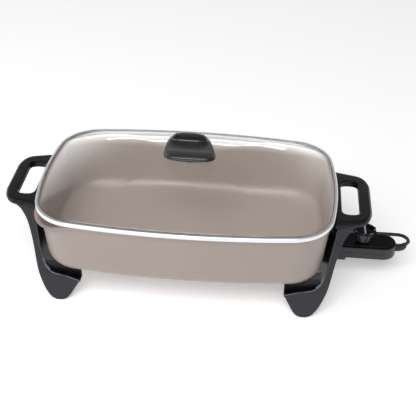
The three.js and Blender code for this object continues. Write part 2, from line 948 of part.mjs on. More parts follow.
function makeLidRim() {
  return skin([
    [lidRimWall / 2, lidRimBottomZ],
    [0, lidRimBottomZ + lidRimWall],
    [0, lidRimTopZ - lidRimWall * 2],
    [lidRimWall, lidRimTopZ - lidRimWall / 4],
    [lidRimWall * 2, lidRimTopZ],
    [lidRimLip, lidRimTopZ],
    [lidRimLip, lidRimTopZ - lidRimWall],
    [lidRimWall * 2, lidRimTopZ - lidRimWall],
    [lidRimWall, lidRimTopZ - lidRimWall * 2],
    [lidRimWall, lidRimBottomZ + lidRimWall],
    [lidRimLip, lidRimBottomZ + lidRimWall],
    [lidRimLip, lidRimBottomZ],
  ].map(flatRing), true);
}

// A ring of the dome: 0 at the knob's hole, 1 at the flange
function domeRing(share, lowered) {
  const edge = outline(lidRimWall + seatGap + glassFlange - lidOverhang);
  const z = glassTopZ + domeHeight * (1 - share ** domePower) - lowered;
  return edge.map(([x, y]) => {
    const hole = new THREE.Vector2(x, y).normalize().multiplyScalar(lidHoleRadius);
    return new THREE.Vector3(hole.x + (x - hole.x) * share, hole.y + (y - hole.y) * share, z);
  });
}

function makeGlass() {
  const shares = [1, 0.92, 0.82, 0.7, 0.54, 0.34, 0.12, 0];
  const edgeInset = lidRimWall + seatGap;
  return skin([
    flatRing([edgeInset, glassBottomZ]),
    flatRing([edgeInset, glassTopZ - lidRimWall]),
    flatRing([edgeInset + lidRimWall, glassTopZ]),
    ...shares.map((share) => domeRing(share, 0)),
    ...shares.slice().reverse().map((share) => domeRing(share, glassThickness)),
  ], true);
}

// Knob rings from base to top: shares of the height, the half length and the half depth
const knobShares = [
  [0, 0.965, 0.94],
  [0.04, 1, 1],
  [0.09, 0.992, 0.97],
  [0.13, 0.98, 0.82],
  [0.22, 0.966, 0.68],
  [0.38, 0.942, 0.58],
  [0.54, 0.895, 0.52],
  [0.7, 0.822, 0.5],
  [0.79, 0.765, 0.55],
  [0.84, 0.725, 0.7],
  [0.875, 0.69, 0.8],
  [0.93, 0.63, 0.8],
  [0.98, 0.54, 0.66],
  [1, 0.42, 0.42],
];
const knobSquareness = 0.8;
const knobCrownRings = 4;
const knobBaseZ = crownZ + seatGap * 2 + knobWasherThickness;

function knobSolid(shares, grow) {
  const rings = shares.map(([rise, long, deep]) => Array.from({ length: knobSides }, (_, i) => {
    const angle = (2 * Math.PI * i) / knobSides;
    const soften = (value) => Math.sign(value) * Math.abs(value) ** knobSquareness;
    return new THREE.Vector3(
      (knobHalfLength * long + grow) * soften(Math.cos(angle)),
      (knobHalfDepth * deep + grow) * soften(Math.sin(angle)),
      knobBaseZ + (knobHeight - knobRibRise) * rise + grow * rise,
    );
  }));
  return solidOf(skin(rings));
}

// Grip ribs cross the knob's top from front to back
function makeKnobRibs() {
  const crown = knobSolid(knobShares.slice(-knobCrownRings), knobRibRise);
  const bars = Array.from({ length: knobRibCount }, (_, i) => {
    const x = knobRibPitch * (i - (knobRibCount - 1) / 2);
    return solidOf(box(
      x - knobRibHalfWidth,
      x + knobRibHalfWidth,
      -knobHalfDepth,
      knobHalfDepth,
      knobBaseZ + knobHeight / 2,
      knobBaseZ + knobHeight + knobRibRise,
    ));
  });
  return crown.intersect(joined(bars));
}

function makeKnob() {
  const bore = solidOf(rodZ(
    knobScrewRadius + seatGap,
    0,
    0,
    knobBaseZ - cutOverrun,
    knobBaseZ + knobScrewBite + seatGap,
    headSides,
  ));
  return knobSolid(knobShares, 0).add(makeKnobRibs()).subtract(bore);
}

function ringZ(outerRadius, innerRadius, x, y, lowZ, highZ, sides = roundSteps) {
  const outer = solidOf(rodZ(outerRadius, x, y, lowZ, highZ, sides));
  return outer.subtract(solidOf(rodZ(innerRadius, x, y, lowZ - cutOverrun, highZ + cutOverrun, sides)));
}

function makeKnobScrew() {
  const washerTop = crownZ - glassThickness - seatGap;
  const seat = washerTop - lidWasherThickness - seatGap;
  const tipZ = knobBaseZ + knobScrewBite;
  return joined([
    solidOf(rodZ(knobScrewHead, 0, 0, seat - knobScrewHeadHeight, seat, sleeveSides)),
    solidOf(rodZ(knobScrewRadius, 0, 0, seat - knobScrewHeadHeight / 2, tipZ, headSides)),
  ]);
}

// Heat control: two shells with a round far end and a deeper block at the socket
const controlRoundX = controlEndX - controlHalfWidth;

function controlPlan(inset) {
  const half = controlHalfWidth - inset;
  const rear = controlRearX + inset;
  const corner = Math.max(controlCorner - inset, seatGap);
  const plan = new THREE.Shape();
  plan.moveTo(rear + corner, -half);
  plan.lineTo(controlRoundX, -half);
  plan.absarc(controlRoundX, 0, half, -Math.PI / 2, Math.PI / 2, false);
  plan.lineTo(rear + corner, half);
  plan.quadraticCurveTo(rear, half, rear, half - corner);
  plan.lineTo(rear, -half + corner);
  plan.quadraticCurveTo(rear, -half, rear + corner, -half);
  return plan;
}

function socketCuts() {
  const throughX = controlRearX + controlWall * 2;
  return [[probeRadius, 0], [pinRadius, pinSpread], [pinRadius, -pinSpread]]
    .map(([radius, y]) => solidOf(rodX(
      radius + seatGap,
      controlRearX - cutOverrun,
      throughX,
      y,
      socketZ,
      boreSides,
    )));
}

function reliefCut() {
  const half = reliefHalfWidth + seatGap;
  const tall = reliefHalfHeight + seatGap;
  return solidOf(box(
    controlEndX - controlWall * 2,
    controlEndX + cutOverrun,
    -half,
    half,
    reliefZ - tall,
    reliefZ + tall,
  ));
}

function makeTopShell() {
  const borderZ = controlTopZ - plateauRise;
  const bevelled = new THREE.ExtrudeGeometry(controlPlan(0), {
    depth: borderZ - controlSplitZ - controlTopBevel,
    bevelEnabled: true,
    bevelThickness: controlTopBevel,
    bevelSize: controlTopBevel,
    bevelOffset: -controlTopBevel,
    bevelSegments: 2,
    curveSegments: controlRoundSteps,
  }).translate(0, 0, controlSplitZ);
  const below = solidOf(box(
    controlRearX - cutOverrun,
    controlEndX + cutOverrun,
    -controlHalfWidth * 2,
    controlHalfWidth * 2,
    controlSplitZ - controlTopBevel * 2,
    controlSplitZ,
  ));
  const plateau = solidOf(prismZ(
    controlPlan(plateauInset),
    borderZ - controlWall / 2,
    controlTopZ,
    controlRoundSteps,
  ));
  const hollow = solidOf(prismZ(
    controlPlan(controlWall),
    controlSplitZ - cutOverrun,
    borderZ - controlWall,
    controlRoundSteps,
  ));
  const shaftHole = solidOf(rodZ(shaftRadius + seatGap, dialX, 0, controlSplitZ, controlTopZ + cutOverrun));
  const posts = joined([1, -1].map((side) => solidOf(rodZ(
    postRadius,
    postX,
    side * postY,
    controlSplitZ,
    borderZ - controlWall / 2,
    headSides,
  ))));
  const threads = joined([1, -1].map((side) => solidOf(rodZ(
    controlScrewRadius + seatGap,
    postX,
    side * postY,
    controlSplitZ - cutOverrun,
    controlSplitZ + controlScrewReach + seatGap,
    screwSides,
  ))));
  return solidOf(bevelled)
    .add(plateau)
    .subtract(joined([below, hollow]))
    .add(posts)
    .subtract(joined([shaftHole, threads, ...socketCuts(), reliefCut()]));
}

function makeBottomShell() {
  const topZ = controlSplitZ - seatGap;
  const rearEnd = controlRearX + controlRearLength;
  const main = solidOf(prismZ(controlPlan(0), controlBottomZ, topZ, controlRoundSteps));
  const rearHalf = controlHalfWidth;
  const rear = solidOf(prismZ(
    roundedRectangle(controlRearX, rearEnd, -rearHalf, rearHalf, controlCorner),
    controlRearBottomZ,
    topZ,
  ));
  const hollow = solidOf(prismZ(
    controlPlan(controlWall),
    controlBottomZ + controlWall,
    topZ + cutOverrun,
    controlRoundSteps,
  ));
  const rearHollow = solidOf(prismZ(
    roundedRectangle(
      controlRearX + controlWall,
      rearEnd - controlWall,
      -rearHalf + controlWall,
      rearHalf - controlWall,
      controlCorner / 2,
    ),
    controlRearBottomZ + controlWall,
    topZ + cutOverrun,
  ));
  const posts = joined([1, -1].map((side) => solidOf(rodZ(
    postRadius,
    postX,
    side * postY,
    controlBottomZ,
    topZ,
    headSides,
  ))));
  const screwBores = joined([1, -1].flatMap((side) => [
    solidOf(rodZ(
      controlScrewRadius + seatGap,
      postX,
      side * postY,
      controlBottomZ - cutOverrun,
      topZ + cutOverrun,
      screwSides,
    )),
    solidOf(rodZ(
      controlScrewHead + seatGap,
      postX,
      side * postY,
      controlBottomZ - cutOverrun,
      controlBottomZ + controlScrewHeadHeight,
      headSides,
    )),
  ]));
  const floorUnder = solidOf(box(
    rearEnd - controlWall,
    switchBaseX + switchBaseLength,
    -switchBaseHalfWidth,
    switchBaseHalfWidth,
    controlBottomZ,
    controlBottomZ + controlWall,
  ));
  return main.add(rear)
    .subtract(joined([hollow, rearHollow]))
    .add(floorUnder)
    .add(posts)
    .subtract(joined([screwBores, ...socketCuts(), reliefCut()]));
}

function makeControlScrew(side) {
  const y = side * postY;
  const headTop = controlBottomZ + controlScrewHeadHeight - seatGap;
  const tipZ = controlSplitZ + controlScrewReach;
  return joined([
    solidOf(rodZ(controlScrewHead, postX, y, controlBottomZ, headTop, headSides)),
    solidOf(rodZ(controlScrewRadius, postX, y, headTop - controlScrewRadius, tipZ, screwSides)),
  ]);
}

// Probe: a closed metal tube that reaches under the pan, with a collar inside the control
function makeProbe() {
  const profile = [
    [0, 0],
    [probeRadius * 0.5, 0.13 * probeRadius],
    [probeRadius * 0.86, 0.5 * probeRadius],
    [probeRadius, probeRadius],
    [probeRadius, controlRearX + controlWall + seatGap - probeTipX],
    [probeRadius * 1.35, controlRearX + controlWall + seatGap - probeTipX],
    [probeRadius * 1.35, probeInsideX - probeTipX],
    [0, probeInsideX - probeTipX],
  ].map(([radius, along]) => new THREE.Vector2(radius, along));
  const geometry = new THREE.LatheGeometry(profile, boreSides);
  return geometry.rotateZ(-Math.PI / 2).translate(probeTipX, 0, socketZ);
}

// Contact sleeves that take the terminal pins
function makeContact(side) {
  const lowX = controlRearX + controlWall + seatGap;
  const y = side * pinSpread;
  const outer = solidOf(rodX(contactOuterRadius, lowX, lowX + contactLength, y, socketZ, sleeveSides));
  const bore = solidOf(rodX(
    pinRadius + seatGap,
    lowX - cutOverrun,
    pinTipX + seatGap * 2,
    y,
    socketZ,
    sleeveSides,
  ));
  return outer.subtract(bore);
}

function makePin(side) {
  const y = side * pinSpread;
  return rodX(pinRadius, elementEndX + seatGap, pinTipX, y, socketZ, headSides);
}

// Thermostat: an insulating base with a fixed blade, and the bimetal blade that the cam presses
const switchBaseTopZ = controlBottomZ + controlWall + seatGap + switchBaseHeight;

function makeSwitchBase() {
  return box(
    switchBaseX,
    switchBaseX + switchBaseLength,
    -switchBaseHalfWidth,
    switchBaseHalfWidth,
    controlBottomZ + controlWall + seatGap,
    switchBaseTopZ,
  );
}

function makeBlade(y, reversed) {
  const bottomZ = switchBaseTopZ + seatGap;
  const startX = reversed ? probeInsideX + seatGap : switchBaseX + bladeThickness;
  const endX = startX + bladeLength;
  const stepX = reversed ? switchBaseX - bladeThickness : switchBaseX + switchBaseLength - bladeThickness;
  const rise = reversed ? 0 : bimetalStep;
  const side = new THREE.Shape();
  side.moveTo(startX, bottomZ);
  side.lineTo(stepX, bottomZ);
  side.lineTo(stepX + rise, bottomZ + rise / 2);
  side.lineTo(endX, bottomZ + rise / 2);
  side.lineTo(endX, bottomZ + rise / 2 + bladeThickness);
  side.lineTo(stepX + rise, bottomZ + rise / 2 + bladeThickness);
  side.lineTo(stepX, bottomZ + bladeThickness);
  side.lineTo(startX, bottomZ + bladeThickness);
  side.closePath();
  return prismY(side, y - bladeHalfWidth, y + bladeHalfWidth);
}

// Dial: a flared skirt of wide facets between grooves, under a dished top with a raised pointer
const dialFootZ = controlTopZ + seatGap * 3;

function makeDial() {
  const facet = (2 * Math.PI) / dialFacetCount;
  const places = Array.from({ length: dialFacetCount }, (_, i) => [
    [facet * i, false],
    [facet * (i + 0.5 - dialGrooveShare), false],
    [facet * (i + 0.5), true],
    [facet * (i + 0.5 + dialGrooveShare), false],
  ]).flat();
  const levels = [
    [0, dialFootRadius, 0.93],
    [0.3, dialFootRadius * 1.06, 0.91],
    [0.62, (dialFootRadius + dialTopRadius) / 2, 0.92],
    [0.88, dialTopRadius, 0.96],
    [0.96, dialTopRadius, 1],
    [1, dialTopRadius - dialCrown, 1],
  ];
  const rings = levels.map(([rise, radius, dip]) => places.map(([angle, inGroove]) => {
    const reach = inGroove ? radius * dip : radius;
    return new THREE.Vector3(reach * Math.cos(angle), reach * Math.sin(angle), dialFootZ + dialHeight * rise);
  }));
  const topZ = dialFootZ + dialHeight;
  const recessRadius = dialTopRadius - dialCrown - dialRimWidth;
  const recess = solidOf(rodZ(recessRadius, 0, 0, topZ - dialRecessDepth, topZ + cutOverrun));
  const pointer = solidOf(box(
    -dialPointerHalfWidth,
    dialPointerHalfWidth,
    -recessRadius - dialRimWidth / 2,
    recessRadius + dialRimWidth / 2,
    topZ - dialRecessDepth - dialPointerHeight,
    topZ + dialPointerHeight,
  ));
  const bore = solidOf(rodZ(
    shaftRadius + seatGap,
    0,
    0,
    dialFootZ - cutOverrun,
    dialFootZ + shaftBite + seatGap,
  ));
  return solidOf(skin(rings)).subtract(recess).add(pointer).subtract(bore).translate([dialX, 0, 0]);
}

// Shaft with the cam that presses the bimetal blade
function makeShaft() {
  const bladeTop = switchBaseTopZ + seatGap + bimetalStep / 2 + bladeThickness;
  const camZ = bladeTop + seatGap;
  return joined([
    solidOf(rodZ(shaftRadius, dialX, 0, camZ, dialFootZ + shaftBite)),
    solidOf(rodZ(camRadius, dialX, 0, camZ, camZ + camThickness)),
  ]);
}

// Strain relief: a tapering boot that turns aside with the cord
function reliefPath() {
  const points = [
    new THREE.Vector3(controlEndX - reliefRoot, 0, reliefZ),
    new THREE.Vector3(controlEndX - reliefRoot + reliefRootFlange, 0, reliefZ),
    new THREE.Vector3(controlEndX + reliefStraight / 2, 0, reliefZ),
  ];
  const steps = 8;
  for (let i = 0; i <= steps; i += 1) {
    const angle = radians((reliefBendAngle * i) / steps);
    points.push(new THREE.Vector3(
      controlEndX + reliefStraight + reliefBend * Math.sin(angle),
      reliefBend * (1 - Math.cos(angle)),
      reliefZ,
    ));
  }
  return points;
}

function makeRelief() {
  const half = [reliefHalfWidth, reliefHalfHeight];
  return sweep(reliefPath(), (share) => {
    const size = 1 - (1 - reliefTaperShare) * share;
    const u = half[0] * size;
    const v = half[1] * size;
    return [[-u, -v], [u, -v], [u, v], [-u, v]];
  });
}

// Cord: the free stretch leaves the boot, turns back and runs down behind the pan
const cordTurn = radians(reliefBendAngle);
const cordHeading = new THREE.Vector3(Math.cos(cordTurn), Math.sin(cordTurn), 0);
const cordExit = reliefPath()[reliefPath().length - 1];
const coilStart = new THREE.Vector3(coilX + coilTurnRadius + coilPitch, coilY, cordRadius + seatGap);
// Places along the cord, measured along X from the control's end
const cordPlaces = [
  [19.6, 16.4, 43.8],
  [17.6, 26, 43],
  [10.6, 33.2, 41.6],
  [0, 36.8, 39.6],
  [-12, 40.2, 37],
  [-26, 46.4, 32.4],
  [-40, 55.4, 26.6],
  [-53, 66.4, 19.6],
  [-64, 79, 12.6],
  [-73.4, 93, 6.6],
  [-82.4, 107, 3.4],
  [-93.4, 120, 2.8],
  [-107, 131, 2.8],
  [-123, 139, 2.8],
  [-139, 144.6, 2.8],
  [-152.4, 151, 2.8],
  [-163.2, 161, 2.8],
];

function cordRoute() {
  const along = new THREE.Vector3(0, 1, 0);
  return [
    cordExit.clone().addScaledVector(cordHeading, seatGap),
    cordExit.clone().addScaledVector(cordHeading, cordRadius),
    ...cordPlaces.map(([x, y, z]) => new THREE.Vector3(controlEndX + x, y, z)),
    coilStart.clone().addScaledVector(along, -cordRadius * 3),
    coilStart.clone().addScaledVector(along, -cordRadius * 2 - seatGap),
  ];
}

function makeCord() {
  const curve = new THREE.CatmullRomCurve3(cordRoute(), false, 'centripetal');
  const round = circleSection(cordRadius, cordSides).map(([u, v]) => new THREE.Vector2(u, v));
  const section = new THREE.Shape(round);
  section.closePath();
  return new THREE.ExtrudeGeometry(section, { steps: cordSteps, bevelEnabled: false, extrudePath: curve });
}

// Coil: one tube that spirals in, climbs a layer where it turns back, and spirals out again
function coilPath() {
  const points = [coilStart.clone().addScaledVector(new THREE.Vector3(0, 1, 0), -cordRadius * 2)];
  const total = coilTurns * coilStepsPerTurn;
  const middle = total / 2;
  const climbSteps = coilStepsPerTurn / 2;
  for (let i = 0; i <= total; i += 1) {
    const angle = (2 * Math.PI * i) / coilStepsPerTurn;
    const radius = coilTurnRadius + coilPitch * (1 - (middle - Math.abs(i - middle)) / coilStepsPerTurn);
    const climb = THREE.MathUtils.smoothstep(i, middle - climbSteps / 2, middle + climbSteps / 2);
    points.push(new THREE.Vector3(
      coilX + radius * Math.cos(angle),
      coilY + radius * Math.sin(angle),
      coilStart.z + coilPitch * climb,
    ));
  }
  const last = points[points.length - 1];
  const onward = new THREE.Vector3(0, -1, 0);
  points.push(last.clone().addScaledVector(onward, coilTail / 2));
  points.push(last.clone().addScaledVector(onward, coilTail));
  return points;
}

function leastGapToItself(path) {
  const apart = Math.ceil(coilStepsPerTurn / 2);
  let least = Infinity;
  path.forEach((point, i) => {
    for (let j = i + apart; j < path.length; j += 1) {
      least = Math.min(least, point.distanceTo(path[j]));
    }
  });
  return least - cordRadius * 2;
}

// Plug: lies on its side at the end of the coil
function plugFrame() {
  const path = coilPath();
  const end = path[path.length - 1];
  const along = end.clone().sub(path[path.length - 2]).normalize();
  return { end, along, turn: Math.atan2(along.y, along.x) };
}

function placedOnPlug(geometry) {
  const { end, along, turn } = plugFrame();
  const place = end.clone().addScaledVector(along, seatGap);
  return geometry.rotateZ(turn).translate(place.x, place.y, place.z);
}

function makePlugBody() {
  const halfHeight = coilStart.z + coilPitch - seatGap;
  const plan = roundedPolygon([
    [0, -cordRadius * 1.3],
    [plugNeck, -cordRadius * 1.5],
    [plugNeck + cordRadius, -plugHalfWidth],
    [plugLength, -plugHalfWidth],
    [plugLength, plugHalfWidth],
    [plugNeck + cordRadius, plugHalfWidth],
    [plugNeck, cordRadius * 1.5],
    [0, cordRadius * 1.3],
  ], cordRadius / 2);
  const side = roundedPolygon([
    [0, -cordRadius * 1.3],
    [plugNeck, -cordRadius * 1.6],
    [plugNeck + cordRadius * 2, -halfHeight],
    [plugLength, -halfHeight],
    [plugLength, halfHeight],
    [plugNeck + cordRadius * 2, halfHeight],
    [plugNeck, cordRadius * 1.6],
    [0, cordRadius * 1.3],
  ], cordRadius / 2);
  const body = solidOf(prismZ(plan, -halfHeight, halfHeight, 3))
    .intersect(solidOf(prismY(side, -plugHalfWidth * 2, plugHalfWidth * 2, 3)));
  const slots = joined([1, -1].map((end) => solidOf(box(
    plugLength - plugNeck / 2,
    plugLength + cutOverrun,
    -plugBladeHalfWidth - seatGap,
    plugBladeHalfWidth + seatGap,
    end * bladeSpread - plugBladeThickness / 2 - seatGap,
    end * bladeSpread + plugBladeThickness / 2 + seatGap,
  ))));
  return placedOnPlug(geometryOf(body.subtract(slots)));
}

function makePlugBlade(end) {
  return placedOnPlug(box(
    plugLength - plugNeck / 2 + seatGap,
    plugLength + plugBladeLength,
    -plugBladeHalfWidth,
    plugBladeHalfWidth,
    end * bladeSpread - plugBladeThickness / 2,
    end * bladeSpread + plugBladeThickness / 2,
  ));
}

// Assembly
addPiece('pan', makePan(), ceramicCoat);
addPiece('heating_element', makeElement(), dullSteel);
addPiece('terminal_guard', makeGuard(), blackPlastic);
[['front', -1], ['back', 1]].forEach(([word, side]) => {
  addPiece(`terminal_pin_${word}`, makePin(side), brightSteel);
  addPiece(`guard_screw_${word}`, makeGuardScrew(side), dullSteel);
});

[['left', -1], ['right', 1]].forEach(([end, side]) => {
  addPiece(`${end}_bracket`, makeBracket(side), blackPlastic);
  [['front', -1], ['back', 1]].forEach(([word, along]) => {
    addPiece(`${end}_bracket_screw_${word}`, makeBracketScrew(side, along * bracketScrewY), dullSteel);
  });
});

addPiece('lid_rim', makeLidRim(), brightSteel);
addPiece('lid_glass', makeGlass(), clearGlass);
addPiece('lid_knob', makeKnob(), glossPlastic);
const gasketZ = crownZ + seatGap;
addPiece(
  'knob_gasket',
  ringZ(knobWasherRadius, knobScrewRadius + seatGap, 0, 0, gasketZ, gasketZ + knobWasherThickness),
  blackRubber,
);
addPiece(
  'lid_washer',
  ringZ(
    lidWasherRadius,
    knobScrewRadius + seatGap,
    0,
    0,
    crownZ - glassThickness - seatGap - lidWasherThickness,
    crownZ - glassThickness - seatGap,
  ),
  brightSteel,
);
addPiece('knob_screw', makeKnobScrew(), brightSteel);

addPiece('control_top', makeTopShell(), glossPlastic);
addPiece('control_bottom', makeBottomShell(), blackPlastic);
addPiece('probe_tube', makeProbe(), brightSteel);
[['front', -1], ['back', 1]].forEach(([word, side]) => {
  addPiece(`contact_sleeve_${word}`, makeContact(side), copperAlloy);
  addPiece(`control_screw_${word}`, makeControlScrew(side), dullSteel);
});
addPiece('switch_base', makeSwitchBase(), whiteCeramic);
addPiece('contact_blade', makeBlade(bladeHalfWidth + bladeThickness, false), copperAlloy);
addPiece('bimetal_blade', makeBlade(-bladeHalfWidth - bladeThickness, true), dullSteel);
addPiece('dial_knob', makeDial(), glossPlastic);
addPiece('dial_shaft', makeShaft(), brightSteel);
addPiece('strain_relief', makeRelief(), blackRubber);

addPiece('cord_lead', makeCord(), blackRubber);
addPiece('cord_coil', sweep(coilPath(), () => circleSection(cordRadius, 6)), blackRubber);
addPiece('plug_body', makePlugBody(), blackRubber);
[['lower', -1], ['upper', 1]].forEach(([word, end]) => {
  addPiece(`plug_blade_${word}`, makePlugBlade(end), brightSteel);
});

console.log(`Least gap of the coil to itself: ${leastGapToItself(coilPath()).toFixed(2)} mm`);

export default skillet;
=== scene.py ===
# Electric skillet with a glass lid: the looks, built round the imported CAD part
# Metres, +Z up, +X towards the heat control, -Y towards the cook

import math

import bpy
from mathutils import Matrix, Vector


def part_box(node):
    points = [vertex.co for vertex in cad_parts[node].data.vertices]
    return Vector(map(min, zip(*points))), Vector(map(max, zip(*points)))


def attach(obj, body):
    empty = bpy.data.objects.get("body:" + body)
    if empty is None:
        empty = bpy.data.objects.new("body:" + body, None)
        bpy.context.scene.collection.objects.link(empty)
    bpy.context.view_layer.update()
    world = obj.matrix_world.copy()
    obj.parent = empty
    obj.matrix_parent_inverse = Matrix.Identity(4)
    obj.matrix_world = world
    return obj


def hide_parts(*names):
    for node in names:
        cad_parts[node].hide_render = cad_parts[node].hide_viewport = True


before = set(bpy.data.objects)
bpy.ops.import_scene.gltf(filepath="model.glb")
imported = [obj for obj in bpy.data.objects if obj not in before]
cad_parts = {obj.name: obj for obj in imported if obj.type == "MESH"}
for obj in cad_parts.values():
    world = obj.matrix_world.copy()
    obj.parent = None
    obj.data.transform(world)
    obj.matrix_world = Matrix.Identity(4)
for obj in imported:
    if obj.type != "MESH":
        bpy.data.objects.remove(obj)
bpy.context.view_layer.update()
mm = 0.001


# Small helpers for working on one piece at a time

def objectMode():
    if bpy.context.object and bpy.context.object.mode != "OBJECT":
        bpy.ops.object.mode_set(mode="OBJECT")


def chooseNothing():
    objectMode()
    bpy.ops.object.select_all(action="DESELECT")


def choose(piece):
    chooseNothing()
    piece.select_set(True)
    bpy.context.view_layer.objects.active = piece


def editFaces(piece, wanted):  # edit mode, with only the wanted faces selected
    choose(piece)
    bpy.context.tool_settings.mesh_select_mode = (False, False, True)
    for vertex in piece.data.vertices:
        vertex.select = False
    for edge in piece.data.edges:
        edge.select = False
    for face in piece.data.polygons:
        face.select = wanted(face)
    bpy.ops.object.mode_set(mode="EDIT")


def editAll(piece):
    choose(piece)
    bpy.ops.object.mode_set(mode="EDIT")
    bpy.ops.mesh.select_all(action="SELECT")


def applyPlace():  # of the chosen piece, into its mesh
    bpy.ops.object.transform_apply(location=True, rotation=True, scale=True)


def named(name):  # the object just made, with its place moved into its mesh
    piece = bpy.context.object
    piece.name = name
    piece.data.name = name
    applyPlace()
    return piece


def linked(name, data):  # a new object in the scene
    thing = bpy.data.objects.new(name, data)
    bpy.context.scene.collection.objects.link(thing)
    return thing


def startBox(name, low, high):
    chooseNothing()
    low, high = Vector(low), Vector(high)
    bpy.ops.mesh.primitive_cube_add(size=1, location=(low + high) / 2)
    bpy.context.object.scale = high - low
    return named(name)


def useModifier(piece, kind, **settings):
    modifier = piece.modifiers.new(kind.lower(), kind)
    for key, value in settings.items():
        setattr(modifier, key, value)
    choose(piece)
    bpy.ops.object.modifier_apply(modifier=modifier.name)


def bevelEdges(piece, width, segments=2, angle=35):
    useModifier(piece, "BEVEL", width=width, segments=segments, limit_method="ANGLE",
                angle_limit=math.radians(angle), use_clamp_overlap=True, harden_normals=False)


def faceOutwards(piece):
    editAll(piece)
    bpy.ops.mesh.normals_make_consistent(inside=False)
    objectMode()


def cutPiece(piece, place, way, keepAhead):  # along a plane, closed again; ahead is where the way points
    editAll(piece)
    bpy.ops.mesh.bisect(plane_co=place, plane_no=way, use_fill=True,
                        clear_inner=keepAhead, clear_outer=not keepAhead)
    objectMode()


def isCap(face):  # a large end face, which the quads round it don't share
    return len(face.vertices) > 4


def removeCaps(piece):
    editFaces(piece, isCap)
    bpy.ops.mesh.delete(type="FACE")
    objectMode()


def copyOf(piece, name):
    return linked(name, piece.data.copy())


def joinedPieces(pieces, name):
    chooseNothing()
    for piece in pieces:
        piece.select_set(True)
    bpy.context.view_layer.objects.active = pieces[0]
    bpy.ops.object.join()
    return named(name)


cadCleaning = {
    "merge": 0.002 * mm,
    "flat": math.radians(0.2),
    "quadFold": math.radians(30),
    "quadSkew": math.radians(60),
}


def cadCopy(node, clean=True):  # the CAD solid as one merged mesh, of clean faces or of all its rings
    first, *rest = node.split("_")
    name = first + "".join(word.title() for word in rest)
    piece = linked(name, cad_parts[node].data.copy())
    piece.data.name = name
    editAll(piece)
    bpy.ops.mesh.remove_doubles(threshold=cadCleaning["merge"])
    if clean:
        bpy.ops.mesh.dissolve_limited(angle_limit=cadCleaning["flat"])
    bpy.ops.mesh.tris_convert_to_quads(face_threshold=cadCleaning["quadFold"],
                                       shape_threshold=cadCleaning["quadSkew"])
    objectMode()
    return piece


def stackRings(name, levels, sides, shapeAt=None):  # one outline, lifted and resized from level to level
    chooseNothing()
    bpy.ops.mesh.primitive_circle_add(vertices=sides, radius=1, fill_type="NGON")
    piece = named(name)
    if shapeAt:
        for vertex in piece.data.vertices:
            vertex.co.x, vertex.co.y = shapeAt(math.atan2(vertex.co.y, vertex.co.x))
    editAll(piece)
    height, halfX, halfY = levels[0]
    bpy.ops.transform.translate(value=(0, 0, height))
    bpy.ops.transform.resize(value=(halfX, halfY, 1), center_override=(0, 0, 0))
    for nextHeight, nextX, nextY in levels[1:]:
        bpy.ops.mesh.extrude_region_move(TRANSFORM_OT_translate={"value": (0, 0, nextHeight - height)})
        bpy.ops.transform.resize(value=(nextX / halfX, nextY / halfY, 1), center_override=(0, 0, 0))
        height, halfX, halfY = nextHeight, nextX, nextY
    faceOutwards(piece)
    return piece


def placed(piece, place, turn=(0, 0, 0)):
    choose(piece)
    piece.location = place
    piece.rotation_euler = turn
    applyPlace()
    return piece


def squared(power):  # an outline between a circle and a square: 1 is a circle
    def shapeAt(turn):
        across, up = math.cos(turn), math.sin(turn)
        return (math.copysign(abs(across) ** power, across), math.copysign(abs(up) ** power, up))
    return shapeAt


def finished(piece, body, material, replaced=(), smooth=35):
    choose(piece)
    applyPlace()
    bpy.ops.object.shade_smooth_by_angle(angle=math.radians(smooth))
    piece.data.materials.clear()
    piece.data.materials.append(material)
    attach(piece, body)
    if replaced:
        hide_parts(*replaced)
    return piece


# Camera, at the photograph's place

photoCamera = {
    "place": (0.08615, -1.0049, 0.8031),
    "right": (0.9956, 0.0923, 0.0163),
    "up": (-0.0666, 0.5735, 0.8165),
    "lens": 76.19,
    "sensor": 36,
    "clip": (0.05, 50),
}


def makeCamera():
    data = bpy.data.cameras.new("photoCamera")
    data.lens = photoCamera["lens"]
    data.sensor_width = photoCamera["sensor"]
    data.clip_start, data.clip_end = photoCamera["clip"]
    camera = linked("photoCamera", data)
    right = Vector(photoCamera["right"]).normalized()
    up = Vector(photoCamera["up"])
    up = (up - right * up.dot(right)).normalized()
    back = right.cross(up)
    turn = Matrix((right, up, back)).transposed().to_4x4()
    camera.matrix_world = Matrix.Translation(photoCamera["place"]) @ turn
    bpy.context.scene.camera = camera


makeCamera()
print("camera placed")


# Materials: two shared effects, then one material for each finish

noiseShape = {
    "cloudDetail": 4,
    "grainDetail": 2,
    "wearDetail": 6,
    "wearPerCloud": 3.7,  # how much finer the wear is than the clouds
    "scratchDetail": 3,
    "glossSpan": (0.3, 0.7),  # the values of the noise between which the gloss changes
}


def setInputs(node, values):
    for socket, value in values.items():
        node.inputs[socket].default_value = value


def addNode(tree, kind, values=None, **settings):
    node = tree.nodes.new(kind)
    for key, value in settings.items():
        setattr(node, key, value)
    setInputs(node, values or {})
    return node


def wire(tree, *runs):  # each run is a node, its output, the next node and its input
    for source, output, target, entry in runs:
        tree.links.new(source.outputs[output], target.inputs[entry])


def startGroup(name, inputs, outputs):  # sockets by name, each with its kind
    group = bpy.data.node_groups.new(name, "ShaderNodeTree")
    for side, sockets in (("INPUT", inputs), ("OUTPUT", outputs)):
        for socket, kind in sockets.items():
            group.interface.new_socket(name=socket, in_out=side, socket_type=kind)
    return group, addNode(group, "NodeGroupInput"), addNode(group, "NodeGroupOutput")


def addGloss(group, given, noise, result):  # uneven gloss, between the two that the material gives
    low, high = noiseShape["glossSpan"]
    gloss = addNode(group, "ShaderNodeMapRange", {"From Min": low, "From Max": high})
    wire(group,
         (noise, "Fac", gloss, "Value"),
         (given, "Gloss Low", gloss, "To Min"),
         (given, "Gloss High", gloss, "To Max"),
         (gloss, "Result", result, "Roughness"))


